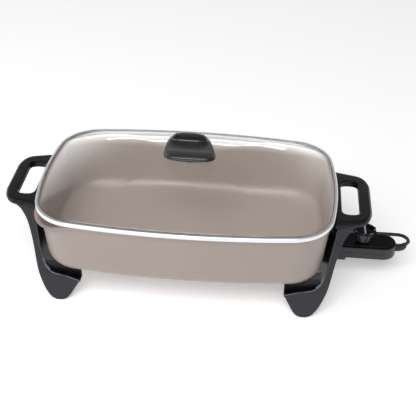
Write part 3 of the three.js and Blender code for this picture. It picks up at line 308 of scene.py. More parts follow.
def makeMouldedSurface():  # colour clouds, uneven gloss and a fine grain
    group, given, result = startGroup("mouldedSurface", {
        "Main Colour": "NodeSocketColor",
        "Cloud Colour": "NodeSocketColor",
        "Cloud Scale": "NodeSocketFloat",
        "Grain Scale": "NodeSocketFloat",
        "Gloss Low": "NodeSocketFloat",
        "Gloss High": "NodeSocketFloat",
    }, {
        "Colour": "NodeSocketColor",
        "Roughness": "NodeSocketFloat",
        "Height": "NodeSocketFloat",
    })
    place = addNode(group, "ShaderNodeTexCoord")
    cloud = addNode(group, "ShaderNodeTexNoise", {"Detail": noiseShape["cloudDetail"]})
    grain = addNode(group, "ShaderNodeTexNoise", {"Detail": noiseShape["grainDetail"]})
    wear = addNode(group, "ShaderNodeTexNoise", {"Detail": noiseShape["wearDetail"]})
    wearScale = addNode(group, "ShaderNodeMath", {1: noiseShape["wearPerCloud"]}, operation="MULTIPLY")
    tint = addNode(group, "ShaderNodeMix", data_type="RGBA")
    wire(group,
         (place, "Object", cloud, "Vector"),
         (place, "Object", grain, "Vector"),
         (place, "Object", wear, "Vector"),
         (given, "Cloud Scale", cloud, "Scale"),
         (given, "Grain Scale", grain, "Scale"),
         (given, "Cloud Scale", wearScale, 0),
         (wearScale, 0, wear, "Scale"),
         (cloud, "Fac", tint, "Factor"),
         (given, "Main Colour", tint, "A"),
         (given, "Cloud Colour", tint, "B"),
         (tint, "Result", result, "Colour"),
         (grain, "Fac", result, "Height"))
    addGloss(group, given, wear, result)
    return group


def makeBrushedSurface():  # fine scratches that run one way
    group, given, result = startGroup("brushedSurface", {
        "Stretch": "NodeSocketVector",
        "Gloss Low": "NodeSocketFloat",
        "Gloss High": "NodeSocketFloat",
    }, {
        "Roughness": "NodeSocketFloat",
        "Height": "NodeSocketFloat",
    })
    place = addNode(group, "ShaderNodeTexCoord")
    stretch = addNode(group, "ShaderNodeVectorMath", operation="MULTIPLY")
    scratches = addNode(group, "ShaderNodeTexNoise", {"Scale": 1, "Detail": noiseShape["scratchDetail"]})
    wire(group,
         (place, "Object", stretch, 0),
         (given, "Stretch", stretch, 1),
         (stretch, "Vector", scratches, "Vector"),
         (scratches, "Fac", result, "Height"))
    addGloss(group, given, scratches, result)
    return group


mouldedSurface = makeMouldedSurface()
brushedSurface = makeBrushedSurface()


def colour(red, green, blue):  # screen colour, 0 to 255, as the linear one that nodes take
    def linear(value):
        share = value / 255
        return share / 12.92 if share <= 0.04045 else ((share + 0.055) / 1.055) ** 2.4
    return (linear(red), linear(green), linear(blue), 1)


def addSurface(tree, group, look, values):  # one of the two effects, with the look's gloss
    low, high = look["gloss"]
    return addNode(tree, "ShaderNodeGroup", {**values, "Gloss Low": low, "Gloss High": high}, node_tree=group)


def startMaterial(name, look):  # a shader that takes its colour clouds from the look
    material = bpy.data.materials.new(name)
    material.use_nodes = True
    tree = material.node_tree
    shader = tree.nodes["Principled BSDF"]
    surface = addSurface(tree, mouldedSurface, look, {
        "Main Colour": colour(*look["main"]),
        "Cloud Colour": colour(*look["cloud"]),
        "Cloud Scale": look["cloudScale"],
        "Grain Scale": look.get("grainScale", 0),
    })
    wire(tree, (surface, "Colour", shader, "Base Color"))
    return material, shader, surface


def useSurface(tree, shader, surface, look):  # the effect's gloss, and its height as fine bumps
    bump = addNode(tree, "ShaderNodeBump", {"Strength": look["bump"], "Distance": look["depth"]})
    wire(tree,
         (surface, "Roughness", shader, "Roughness"),
         (surface, "Height", bump, "Height"),
         (bump, "Normal", shader, "Normal"))


def mouldedMaterial(name, look):
    material, shader, surface = startMaterial(name, look)
    useSurface(material.node_tree, shader, surface, look)
    setInputs(shader, {"Specular IOR Level": look.get("specular", 0.5)})
    return material


def metalMaterial(name, look):
    material, shader, surface = startMaterial(name, look)
    brushed = addSurface(material.node_tree, brushedSurface, look, {"Stretch": look["stretch"]})
    useSurface(material.node_tree, shader, brushed, look)
    setInputs(shader, {"Metallic": 1})
    return material


def glassMaterial(name, look):
    material, shader, surface = startMaterial(name, look)
    setInputs(shader, {"Transmission Weight": 1, "IOR": look["ior"]})
    tree = material.node_tree
    shadow = addNode(tree, "ShaderNodeBsdfTransparent")  # light passes on to what lies under the glass
    ray = addNode(tree, "ShaderNodeLightPath")
    mix = addNode(tree, "ShaderNodeMixShader")
    wire(tree,
         (surface, "Roughness", shader, "Roughness"),
         (ray, "Is Shadow Ray", mix, "Fac"),
         (shader, "BSDF", mix, 1),
         (shadow, "BSDF", mix, 2),
         (mix, "Shader", tree.nodes["Material Output"], "Surface"))
    return material


coatLook = {
    "main": (160, 146, 140), "cloud": (150, 138, 131), "cloudScale": 9, "grainScale": 900,
    "gloss": (0.3, 0.42), "bump": 0.12, "depth": 0.06 * mm,
}
bracketLook = {
    "main": (22, 21, 24), "cloud": (16, 15, 18), "cloudScale": 25, "grainScale": 1600,
    "gloss": (0.28, 0.34), "specular": 0.26, "bump": 0.1, "depth": 0.04 * mm,
}
litSatinLook = {  # the outer faces of the legs and the sides of the control: satin, and painted lighter than the black plastic as painted light
    "main": (50, 48, 53), "cloud": (40, 38, 43), "cloudScale": 30, "grainScale": 1600,
    "gloss": (0.34, 0.42), "specular": 0.4, "bump": 0.14, "depth": 0.04 * mm,
}
edgeHighlightLook = {  # the legs' inner edges: glossy, and painted light grey as a painted highlight
    "main": (150, 147, 155), "cloud": (128, 125, 133), "cloudScale": 40, "grainScale": 1600,
    "gloss": (0.08, 0.14), "specular": 0.7, "bump": 0.03, "depth": 0.03 * mm,
}
knobLook = {
    "main": (24, 23, 28), "cloud": (19, 18, 23), "cloudScale": 30, "grainScale": 1600,
    "gloss": (0.2, 0.26), "specular": 0.8, "bump": 0.03, "depth": 0.03 * mm,
}
# a dark line along the rim lip's inner edge: painted shade where the rim meets the glass
shadeLineLook = {
    "main": (84, 79, 80), "cloud": (72, 68, 69), "cloudScale": 60, "grainScale": 900,
    "gloss": (0.5, 0.6), "bump": 0.1, "depth": 0.05 * mm,
}
glossLook = {
    "main": (12, 12, 14), "cloud": (8, 8, 9), "cloudScale": 60, "grainScale": 500,
    "gloss": (0.1, 0.16), "specular": 0.34, "bump": 0.04, "depth": 0.05 * mm,
}
rubberLook = {
    "main": (26, 25, 28), "cloud": (19, 19, 21), "cloudScale": 80, "grainScale": 1800,
    "gloss": (0.45, 0.6), "bump": 0.3, "depth": 0.05 * mm,
}
ceramicLook = {
    "main": (232, 228, 218), "cloud": (220, 214, 200), "cloudScale": 120, "grainScale": 1500,
    "gloss": (0.6, 0.75), "bump": 0.2, "depth": 0.03 * mm,
}
markLook = {
    "main": (196, 194, 214), "cloud": (184, 182, 204), "cloudScale": 300, "grainScale": 2500,
    "gloss": (0.35, 0.5), "bump": 0.1, "depth": 0.02 * mm,
}
brightLook = {
    "main": (236, 236, 238), "cloud": (222, 223, 226), "cloudScale": 30, "stretch": (60, 60, 2600),
    "gloss": (0.14, 0.26), "bump": 0.08, "depth": 0.02 * mm,
}
rimLook = {
    "main": (244, 244, 246), "cloud": (232, 233, 236), "cloudScale": 24, "stretch": (60, 60, 2600),
    "gloss": (0.44, 0.52), "bump": 0.06, "depth": 0.02 * mm,
}
dullLook = {
    "main": (158, 160, 164), "cloud": (138, 140, 144), "cloudScale": 90, "stretch": (900, 900, 900),
    "gloss": (0.32, 0.48), "bump": 0.1, "depth": 0.03 * mm,
}
elementLook = {
    "main": (104, 98, 94), "cloud": (84, 78, 80), "cloudScale": 45, "stretch": (500, 500, 500),
    "gloss": (0.4, 0.6), "bump": 0.2, "depth": 0.04 * mm,
}
copperLook = {
    "main": (208, 164, 98), "cloud": (186, 140, 80), "cloudScale": 90, "stretch": (200, 1200, 1200),
    "gloss": (0.25, 0.4), "bump": 0.08, "depth": 0.02 * mm,
}
glassLook = {
    "main": (250, 252, 251), "cloud": (250, 252, 251), "cloudScale": 14, "gloss": (0, 0.05), "ior": 1.5,
}

ceramicCoat = mouldedMaterial("ceramicCoat", coatLook)
bracketPlastic = mouldedMaterial("bracketPlastic", bracketLook)
litSatinPlastic = mouldedMaterial("litSatinPlastic", litSatinLook)
edgeHighlightPlastic = mouldedMaterial("edgeHighlightPlastic", edgeHighlightLook)
knobPlastic = mouldedMaterial("knobPlastic", knobLook)
paintedShadeLine = mouldedMaterial("paintedShadeLine", shadeLineLook)
glossPlastic = mouldedMaterial("glossPlastic", glossLook)
blackRubber = mouldedMaterial("blackRubber", rubberLook)
whiteCeramic = mouldedMaterial("whiteCeramic", ceramicLook)
paleMarks = mouldedMaterial("paleMarks", markLook)
brightSteel = metalMaterial("brightSteel", brightLook)
rimSteel = metalMaterial("rimSteel", rimLook)
dullSteel = metalMaterial("dullSteel", dullLook)
elementSheath = metalMaterial("elementSheath", elementLook)
copperAlloy = metalMaterial("copperAlloy", copperLook)
lidGlassClear = glassMaterial("lidGlassClear", glassLook)
print("materials made")


# Cord: one lead from the strain relief, behind the pan and round its coil to the plug

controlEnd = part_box("control_bottom")[1].x  # the end of the heat control that the cord leaves

cordShape = {
    "radius": 2.5 * mm,
    "sideSteps": 4,  # how finely it is rounded, across and along
    "spanSteps": 4,
    "gap": 0.3 * mm,
    "exitPast": 13.65833 * mm,  # the strain relief's tip, past the control's end
    "exitAside": 6.5 * mm,
    "exitHeight": 44.3 * mm,
    "heading": math.radians(60),
    "places": [
        (19.6, 16.4, 43.8),
        (17.6, 26, 43),
        (10.6, 33.2, 41.6),
        (0, 36.8, 39.6),
        (-12, 40.2, 37),
        (-26, 46.4, 32.4),
        (-40, 55.4, 26.6),
        (-53, 66.4, 19.6),
        (-64, 79, 12.6),
        (-73.4, 93, 6.6),
        (-82.4, 107, 3.4),
        (-93.4, 120, 2.8),
        (-107, 131, 2.8),
        (-123, 139, 2.8),
        (-139, 144.6, 2.8),
        (-152.4, 151, 2.8),
        (-163.2, 161, 2.8),
    ],
    "coilPast": -201 * mm,
    "coilAside": 186 * mm,
    "coilRadius": 26 * mm,
    "coilPitch": 5.8 * mm,
    "coilTurns": 3.5,
    "stepsPerTurn": 24,
    "tail": 19 * mm,
}


def cordRoute():
    shape = cordShape
    along = Vector((math.cos(shape["heading"]), math.sin(shape["heading"]), 0))
    leave = Vector((controlEnd + shape["exitPast"], shape["exitAside"], shape["exitHeight"]))
    points = [leave + along * shape["gap"], leave + along * shape["radius"]]
    points += [Vector((controlEnd + x * mm, y * mm, z * mm)) for x, y, z in shape["places"]]
    middle = Vector((controlEnd + shape["coilPast"], shape["coilAside"], shape["radius"] + shape["gap"]))
    first = middle + Vector((shape["coilRadius"] + shape["coilPitch"], 0, 0))
    points += [first - Vector((0, shape["radius"] * 3, 0)), first - Vector((0, shape["radius"] * 2, 0))]
    total = round(shape["coilTurns"] * shape["stepsPerTurn"])
    half = total / 2
    for step in range(total + 1):
        angle = 2 * math.pi * step / shape["stepsPerTurn"]
        inward = (half - abs(step - half)) / shape["stepsPerTurn"]
        radius = shape["coilRadius"] + shape["coilPitch"] * (1 - inward)
        share = min(max((step - half) / (shape["stepsPerTurn"] / 2) + 0.5, 0), 1)
        climb = shape["coilPitch"] * share * share * (3 - 2 * share)
        points.append(middle + Vector((radius * math.cos(angle), radius * math.sin(angle), climb)))
    points.append(points[-1] - Vector((0, shape["tail"] / 2, 0)))
    points.append(points[-2] - Vector((0, shape["tail"], 0)))
    return points


def makeCord():
    points = cordRoute()
    data = bpy.data.curves.new("powerCord", "CURVE")
    data.dimensions = "3D"
    data.bevel_depth = cordShape["radius"]
    data.bevel_resolution = cordShape["sideSteps"]
    data.resolution_u = cordShape["spanSteps"]
    data.use_fill_caps = True
    spline = data.splines.new("BEZIER")
    spline.bezier_points.add(len(points) - 1)
    for knot, point in zip(spline.bezier_points, points):
        knot.co = point
        knot.handle_left_type = "AUTO"
        knot.handle_right_type = "AUTO"
    data.materials.append(blackRubber)
    cord = linked("powerCord", data)
    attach(cord, "control")
    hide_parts("cord_lead", "cord_coil")
    return cord, points


cord, cordPoints = makeCord()


# Outline of the pan and lid: three tangent arcs a quarter, for the end, the corner and the long side

rimLow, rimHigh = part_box("lid_rim")
panMiddle = (rimLow.x + rimHigh.x) / 2  # of the pan's length, on the frame's X

panOutline = {
    "halfLength": 201 * mm,
    "halfWidth": 128 * mm,
    "cornerRadius": 58 * mm,
    "longRadius": 1180 * mm,
    "endRadius": 465 * mm,
    "endSteps": 6,
    "cornerSteps": 18,
    "longSteps": 8,
}


def arcMiddles():  # where the end's and the long side's arcs have their middles
    shape = panOutline
    return shape["halfLength"] - shape["endRadius"], shape["halfWidth"] - shape["longRadius"]


def cornerArc():  # its middle, and the turns at which it meets the end and the long side
    shape = panOutline
    endX, longY = arcMiddles()
    toLong = shape["longRadius"] - shape["cornerRadius"]
    toEnd = shape["endRadius"] - shape["cornerRadius"]
    across = Vector((endX, -longY))
    along = (toLong ** 2 - toEnd ** 2 + across.length ** 2) / (2 * across.length)
    aside = math.sqrt(toLong ** 2 - along ** 2)
    unit = across.normalized()
    corner = Vector((unit.x * along + unit.y * aside, longY + unit.y * along - unit.x * aside))
    return corner, math.atan2(corner.y, corner.x - endX), math.atan2(corner.y - longY, corner.x)


def outlinePoints(inset):  # anticlockwise, round the middle of the pan
    shape = panOutline
    endX, longY = arcMiddles()
    corner, lowTurn, highTurn = cornerArc()
    arcs = [
        (endX, 0, shape["endRadius"], 0, lowTurn, shape["endSteps"]),
        (corner.x, corner.y, shape["cornerRadius"], lowTurn, highTurn, shape["cornerSteps"]),
        (0, longY, shape["longRadius"], highTurn, math.pi / 2, shape["longSteps"]),
    ]
    quarter = []
    for x, y, radius, start, end, steps in arcs:
        for step in range(steps):
            turn = start + (end - start) * step / steps
            quarter.append((x + (radius - inset) * math.cos(turn), y + (radius - inset) * math.sin(turn)))
    top = shape["halfWidth"] - inset
    upperLeft = [(-x, y) for x, y in reversed(quarter[1:])]
    lowerLeft = [(-x, -y) for x, y in quarter]
    lowerRight = [(x, -y) for x, y in reversed(quarter[1:])]
    return quarter + [(0, top)] + upperLeft + lowerLeft + [(0, -top)] + lowerRight


def outlineReach(inset):  # how far the outline lies from the middle in any direction
    around = sorted((math.atan2(y, x), math.hypot(x, y)) for x, y in outlinePoints(inset))

    def reach(turn):
        for (first, near), (second, far) in zip(around, around[1:]):
            if first <= turn <= second:
                return near + (far - near) * (turn - first) / (second - first)
        return around[0][1]
    return reach


def fromPanMiddle(place, reach):  # the way out from the pan's middle, and its share of the outline's reach
    way = Vector((place.x - panMiddle, place.y))
    return way, way.length / reach(math.atan2(way.y, way.x))


def oneFace(name, places, facing=1):  # a single face through the places, or turned over
    mesh = bpy.data.meshes.new(name)
    mesh.from_pydata(places, [], [list(range(len(places)))[::facing]])
    return linked(name, mesh)


def outlineFace(name, inset, height, facing=1):
    return oneFace(name, [(panMiddle + x, y, height) for x, y in outlinePoints(inset)], facing)


def insetAlong(piece, profile):  # carries the piece's one face in and down a profile of insets and heights
    editFaces(piece, lambda face: True)
    for (inset, height), (nextInset, nextHeight) in zip(profile, profile[1:]):
        bpy.ops.mesh.inset(thickness=nextInset - inset, depth=0, use_boundary=True)
        bpy.ops.transform.translate(value=(0, 0, nextHeight - height))
    objectMode()


# Pan: cast and coated, with a flat lip, rounded floor edges and a pouring spout

panShape = {
    "rim": 131 * mm,
    "bottom": 46 * mm,
    "draft": math.radians(5.6),
    "wall": 3 * mm,
    "floor": 4 * mm,
    "fillet": 18 * mm,
    "lipWidth": 2.4 * mm,
    "lipHeight": 3.6 * mm,
    "lipRound": 0.8 * mm,
    "filletSteps": 9,
    "wallSteps": 9,
    "spoutReach": 8 * mm,
    "spoutDrop": 8 * mm,
    "spoutFade": 34 * mm,
    "spoutAngleShare": 0.42,
    "studRadius": 3 * mm,
    "studRoot": 1.15,  # its radius at the wall, as a share
    "studSpread": 0.6 * mm,
    "studChamfer": 0.5 * mm,
    "studSides": 24,
    "studAside": 40 * mm,
    "studHeight": 96 * mm,
    "screwDepth": 5.2 * mm,
    "edgeRound": 0.35 * mm,
}


def wallProfile(extra, floorHeight, fillet):  # from the lip down the wall and round onto the floor
    shape = panShape
    underLip = shape["rim"] - shape["lipHeight"]

    def insetAt(height):
        return shape["lipWidth"] + max(underLip - height, 0) * math.tan(shape["draft"]) + extra

    middle = floorHeight + fillet
    middleInset = insetAt(middle) + fillet / math.cos(shape["draft"])
    rounded = []
    for step in range(shape["filletSteps"] + 1):
        turn = (math.pi / 2 - shape["draft"]) * (1 - step / shape["filletSteps"])
        rounded.append((middleInset - fillet * math.sin(turn), middle - fillet * math.cos(turn)))
    top = underLip if extra == 0 else shape["rim"]
    straight = []
    for step in range(shape["wallSteps"]):
        height = top + (rounded[0][1] - top) * step / shape["wallSteps"]
        straight.append((insetAt(height), height))
    return straight + rounded + [(rounded[-1][0] + fillet / 3, rounded[-1][1])]


def pullSpout(piece):  # the front left corner leans out and dips
    shape = panShape
    corner, lowTurn, highTurn = cornerArc()
    middleTurn = (lowTurn + highTurn) / 2
    halfTurn = (highTurn - lowTurn) / 2 * (1 + shape["spoutAngleShare"])
    for vertex in piece.data.vertices:
        x = -(vertex.co.x - panMiddle)
        y = -vertex.co.y
        rise = 1 - (shape["rim"] - vertex.co.z) / shape["spoutFade"]
        turn = math.atan2(y - corner.y, x - corner.x)
        away = abs(turn - middleTurn) / halfTurn
        if rise <= 0 or away >= 1 or y <= 0 or x <= corner.x * shape["spoutAngleShare"]:
            continue
        strength = (math.cos(away * math.pi / 2) * rise) ** 2
        vertex.co.x -= shape["spoutReach"] * strength * math.cos(turn)
        vertex.co.y -= shape["spoutReach"] * strength * math.sin(turn)
        vertex.co.z -= shape["spoutDrop"] * strength


def bridgeOpenEdges(piece):
    choose(piece)
    bpy.context.tool_settings.mesh_select_mode = (False, True, False)
    bpy.ops.object.mode_set(mode="EDIT")
    bpy.ops.mesh.select_all(action="DESELECT")
    bpy.ops.mesh.select_non_manifold(extend=False, use_wire=False, use_multi_face=False,
                                     use_non_contiguous=False, use_verts=False)
    bpy.ops.mesh.bridge_edge_loops()
    objectMode()


def closedBetween(name, lowProfile, highProfile):  # two runs of rings, joined where they start
    lower = outlineFace(name, lowProfile[0][0], lowProfile[0][1], -1)
    insetAlong(lower, lowProfile)
    upper = outlineFace(name + "Upper", highProfile[0][0], highProfile[0][1])
    insetAlong(upper, highProfile)
    whole = joinedPieces([lower, upper], name)
    bridgeOpenEdges(whole)
    faceOutwards(whole)
    return whole


def makePan():
    shape = panShape
    turnIn = shape["lipRound"]
    lipLow = shape["rim"] - shape["lipHeight"] + turnIn
    lipHigh = shape["rim"] - turnIn
    outer = [(0, lipLow), (turnIn, lipLow - turnIn)] + wallProfile(0, shape["bottom"], shape["fillet"])
    inner = [(0, lipHigh), (turnIn, shape["rim"])] + wallProfile(
        shape["wall"], shape["bottom"] + shape["floor"], shape["fillet"] - shape["wall"])
    pan = closedBetween("castPan", outer, inner)
    pullSpout(pan)
    bevelEdges(pan, shape["edgeRound"], 2, 40)
    pan = joinedPieces([pan] + makeStuds(), "castPan")
    finished(pan, "skillet", ceramicCoat, ("pan",), 45)


def makeStuds():  # cast bosses that the brackets are screwed to
    shape = panShape
    drop = shape["rim"] - shape["lipHeight"] - shape["studHeight"]
    wall = panOutline["halfLength"] - shape["lipWidth"] - drop * math.tan(shape["draft"])
    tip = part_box("right_bracket_screw_front")[0].x - panMiddle + shape["screwDepth"]
    radii = [
        (wall - shape["wall"] * 2 / 3, shape["studRadius"] * shape["studRoot"]),
        (wall + shape["studSpread"], shape["studRadius"]),
        (tip - shape["studChamfer"], shape["studRadius"]),
        (tip, shape["studRadius"] - shape["studChamfer"]),
    ]
    levels = [(out, radius, radius) for out, radius in radii]
    studs = []
    for side in (1, -1):
        for aside in (shape["studAside"], -shape["studAside"]):
            stud = stackRings("panStud", levels, shape["studSides"])
            studs.append(placed(stud, (panMiddle, aside, shape["studHeight"]), (0, side * math.pi / 2, 0)))
    return studs


makePan()
print("pan made")


# Lid rim: one folded band of steel round the edge of the glass

rimShape = {
    "wall": 0.8 * mm,
    "lip": 5 * mm,
    # width of the painted shade line along the lip's inner edge
    "seal": 0.9 * mm,
    "overhang": 2 * mm,
    "topRound": 1.6 * mm,
    "bottomRound": 0.8 * mm,
    "roundSteps": 4,
    "edgeRound": 0.15 * mm,
}


def roundedTurn(edge, height, radius, steps, way):  # insets and heights round the rim's outer corners
    turns = [math.pi / 2 * step / steps for step in range(steps + 1)]
    return [(edge + radius * (1 - math.cos(turn)), height + way * radius * math.sin(turn)) for turn in turns]


def makeLidRim():
    shape = rimShape
    edge = -shape["overhang"]
    steps = shape["roundSteps"]
    lower = roundedTurn(edge, rimLow.z + shape["bottomRound"], shape["bottomRound"], steps, -1)
    upper = roundedTurn(edge, rimHigh.z - shape["topRound"], shape["topRound"], steps, 1)
    lip = edge + shape["lip"]
    seal = lip - shape["seal"]
    band = closedBetween("lidRim", lower + [(seal, rimLow.z), (lip, rimLow.z)],
                         upper + [(seal, rimHigh.z), (lip, rimHigh.z)])
    removeCaps(band)
    useModifier(band, "SOLIDIFY", thickness=shape["wall"], offset=-1, use_even_offset=True)
    bevelEdges(band, shape["edgeRound"], 2, 50)
    rim = finished(band, "lid", rimSteel, ("lid_rim",), 45)
    rim.data.materials.append(paintedShadeLine)
    reach = outlineReach(seal)
    for face in rim.data.polygons:  # a painted shade line, on top only, along the band's inner edge
        share = fromPanMiddle(face.center, reach)[1]
        face.material_index = int(share < 1 and face.normal.z > 0.5)


makeLidRim()
print("lid rim made")


# Lid glass: a domed pane with a flat flange and a hole for the knob's screw

glassShape = {
    "overhang": 0.9 * mm,  # of its edge past the pan's outline
    "flange": 5.1 * mm,  # inset of the fold where the dome starts
    "thickness": 4 * mm,
    "chamfer": 0.8 * mm,
    "dome": 34.5 * mm,
    "domePower": 2.4,
    "fold": 0.012,  # share of the dome that the rounded fold takes
    "foldWidth": 1.6 * mm,
    "foldOutside": [0, 0.35, 0.7, 1],  # the fold's rings, up to its middle at 1 and past it
    "foldInside": [1.3, 1.65, 2],
    "hole": 4 * mm,
    "shares": [0.98, 0.965, 0.945, 0.92, 0.89, 0.86, 0.82, 0.78, 0.74, 0.7, 0.65, 0.6, 0.54, 0.48,
               0.42, 0.36, 0.3, 0.24, 0.18, 0.12, 0.06, 0.01],
}


def domeRise(share):
    return glassShape["dome"] * (1 - share ** glassShape["domePower"])


def foldLevels(flangeTop):  # the flange turns up into the dome on a small round
    shape = glassShape
    rise = domeRise(1 - shape["fold"])
    outside = [(shape["flange"] - shape["foldWidth"] * (1 - part), flangeTop + rise * part * part / 4)
               for part in shape["foldOutside"]]
    inside = [(1 - shape["fold"] * (part - 1), flangeTop + rise * part * part / 4)
              for part in shape["foldInside"]]
    return outside, inside


def domeAlong(piece, height, levels):  # carries the one inner face up a run of shares and heights
    editFaces(piece, isCap)
    share = 1
    for nextShare, nextHeight in levels:
        bpy.ops.mesh.extrude_region_move(TRANSFORM_OT_translate={"value": (0, 0, nextHeight - height)})
        size = nextShare / share
        bpy.ops.transform.resize(value=(size, size, 1), center_override=(panMiddle, 0, 0))
        share, height = nextShare, nextHeight
    objectMode()


def openAtHole(piece, reach):  # the rings near the middle turn from the pan's outline to the round hole
    for vertex in piece.data.vertices:
        way, share = fromPanMiddle(vertex.co, reach)
        if share < 1:
            outward = way.normalized() * glassShape["hole"] * (1 - share)
            vertex.co.x += outward.x
            vertex.co.y += outward.y


def makeGlassSkin(name, edge, flangeTop, facing):
    shape = glassShape
    outside, inside = foldLevels(flangeTop)
    skin = outlineFace(name, edge[0][0], edge[0][1], facing)
    insetAlong(skin, edge + outside)
    levels = inside + [(share, flangeTop + domeRise(share)) for share in shape["shares"]]
    domeAlong(skin, outside[-1][1], levels)
    openAtHole(skin, outlineReach(shape["flange"]))
    return skin


def makeLidGlass():
    shape = glassShape
    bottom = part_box("lid_glass")[0].z
    top = bottom + shape["thickness"]
    edge, chamfer = -shape["overhang"], shape["chamfer"]
    lower = makeGlassSkin("lidGlass", [(edge, bottom)], bottom, -1)
    upper = makeGlassSkin("lidGlassUpper", [(edge, top - chamfer), (edge + chamfer, top)], top, 1)
    glass = joinedPieces([lower, upper], "lidGlass")
    bridgeOpenEdges(glass)
    removeCaps(glass)
    bridgeOpenEdges(glass)
    faceOutwards(glass)
    finished(glass, "lid", lidGlassClear, ("lid_glass",), 50)


makeLidGlass()
print("lid glass made")


# Lid knob: a broad grip, waisted for the fingers, with ribs over its crown

knobShape = {
    "levels": [  # share of the height, of the half length and of the half depth
        (0, 0.965, 0.95),
        (0.02, 0.99, 0.985),
        (0.05, 1, 1),
        (0.075, 0.998, 0.985),
        (0.093, 0.993, 0.93),
        (0.103, 0.99, 0.86),
        (0.115, 0.987, 0.81),
        (0.15, 0.98, 0.755),
        (0.2, 0.971, 0.68),
        (0.26, 0.96, 0.605),
        (0.34, 0.945, 0.53),
        (0.44, 0.922, 0.48),
        (0.56, 0.885, 0.465),
        (0.68, 0.835, 0.475),
        (0.74, 0.805, 0.5),
        (0.79, 0.77, 0.55),
        (0.83, 0.738, 0.68),
        (0.865, 0.705, 0.82),
        (0.9, 0.675, 0.83),
        (0.95, 0.615, 0.77),
        (0.985, 0.54, 0.62),
        (1.006, 0.42, 0.4),
    ],
    "squareness": 0.8,
    "sides": 56,
    "crownInset": 1.5 * mm,
    "ribCount": 9,
    "ribPitch": 4.4 * mm,
    "ribHalfWidth": 1 * mm,
    "ribRise": 0.7 * mm,
    "ribFrom": 0.88,
    "ribRound": 0.25 * mm,
}


def makeKnobRibs(knob, base, crown):  # slices of a knob that is a little larger
    shape = knobShape
    grown = copyOf(knob, "knobRibs")
    rise = shape["ribRise"]
    half = Vector(knob.dimensions) / 2
    editAll(grown)
    bpy.ops.transform.resize(
        value=((half.x + rise) / half.x, (half.y + rise) / half.y, 1 + rise / (crown - base)),
        center_override=(0, 0, base))
    cutPiece(grown, (0, 0, base + (crown - base) * shape["ribFrom"]), (0, 0, 1), True)
    ribs = []
    for number in range(shape["ribCount"]):
        middle = shape["ribPitch"] * (number - (shape["ribCount"] - 1) / 2)
        rib = copyOf(grown, "knobRib")
        for side in (1, -1):
            cutPiece(rib, (middle + side * shape["ribHalfWidth"], 0, 0), (side, 0, 0), False)
        bevelEdges(rib, shape["ribRound"], 2, 45)
        ribs.append(rib)
    bpy.data.objects.remove(grown)
    return ribs


def makeKnob():
    shape = knobShape
    low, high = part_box("lid_knob")
    half = (high - low) / 2
    crown = high.z - shape["ribRise"]
    levels = [(low.z + (crown - low.z) * rise, half.x * long, half.y * deep)
              for rise, long, deep in shape["levels"]]
    knob = stackRings("lidKnob", levels, shape["sides"], squared(shape["squareness"]))
    editFaces(knob, isCap)
    bpy.ops.mesh.inset(thickness=shape["crownInset"], depth=0)
    objectMode()
    useModifier(knob, "SUBSURF", levels=2, render_levels=2)
    knob = joinedPieces([knob] + makeKnobRibs(knob, low.z, crown), "lidKnob")
    placed(knob, (panMiddle, 0, 0))
    finished(knob, "lid", knobPlastic, ("lid_knob",), 50)


makeKnob()
print("lid knob made")


# Dial: a flared skirt of seven facets, a dished top with a pointer bar, and legends round its rim

dialShape = {
    "facets": 7,
    "stepsPerFacet": 14,
    "flat": 0.275,  # how far each facet is drawn in towards its chord
    "groove": 0.91,
    "levels": [  # share of the height and of the radius
        (0, 0.575),
        (0.02, 0.5875),
        (0.3, 0.623),
        (0.46, 0.69),
        (0.62, 0.794),
        (0.78, 0.925),
        (0.87, 0.985),
        (0.91, 1),
        (0.97, 1),
        (0.992, 0.987),
        (1, 0.968),
        (1, 0.785),
        (0.985, 0.77),
        (0.87, 0.755),
        (0.862, 0.74),
    ],
    "grooveTop": 0.8,
    "grooveFade": 0.11,
    "edgeRound": 0.22 * mm,
    "barHalfWidth": 1.5 * mm,
    "barReach": 12 * mm,
    "barRise": 1.2 * mm,
    "barRoot": 2.6 * mm,
    "barRound": 0.35 * mm,
    "inlayStep": 0.3 * mm,  # in from the bar's edges, and up from its top
    "inlayDepth": 0.2 * mm,
    "inlayRound": 0.2 * mm,
    "legends": ["OFF", "WARM", "200", "250", "300", "350", "400"],
    "legendSize": 2.3 * mm,
    "legendDepth": 0.06 * mm,
    "legendWeight": 0.05 * mm,
    "legendRadius": 13.95 * mm,
    "offFacet": 5,
}
# the dial's down-facing facets: satin, and painted lighter than the glossy top as a painted sheen
skirtSheenLook = {
    "main": (104, 102, 110), "cloud": (88, 87, 94), "cloudScale": 90, "grainScale": 1500,
    "gloss": (0.3, 0.42), "bump": 0.1, "depth": 0.04 * mm,
}

halfFacet = math.pi / dialShape["facets"]


def fromFacetMiddle(turn):
    return (turn + halfFacet) % (halfFacet * 2) - halfFacet


def dialOutline(turn):  # facets with a narrow groove between each two
    shape = dialShape
    aside = fromFacetMiddle(turn)
    reach = 1 + (math.cos(halfFacet) / math.cos(aside) - 1) * shape["flat"]
    if abs(aside) > halfFacet - halfFacet / shape["stepsPerFacet"]:
        reach = shape["groove"]
    return (reach * math.cos(turn), reach * math.sin(turn))


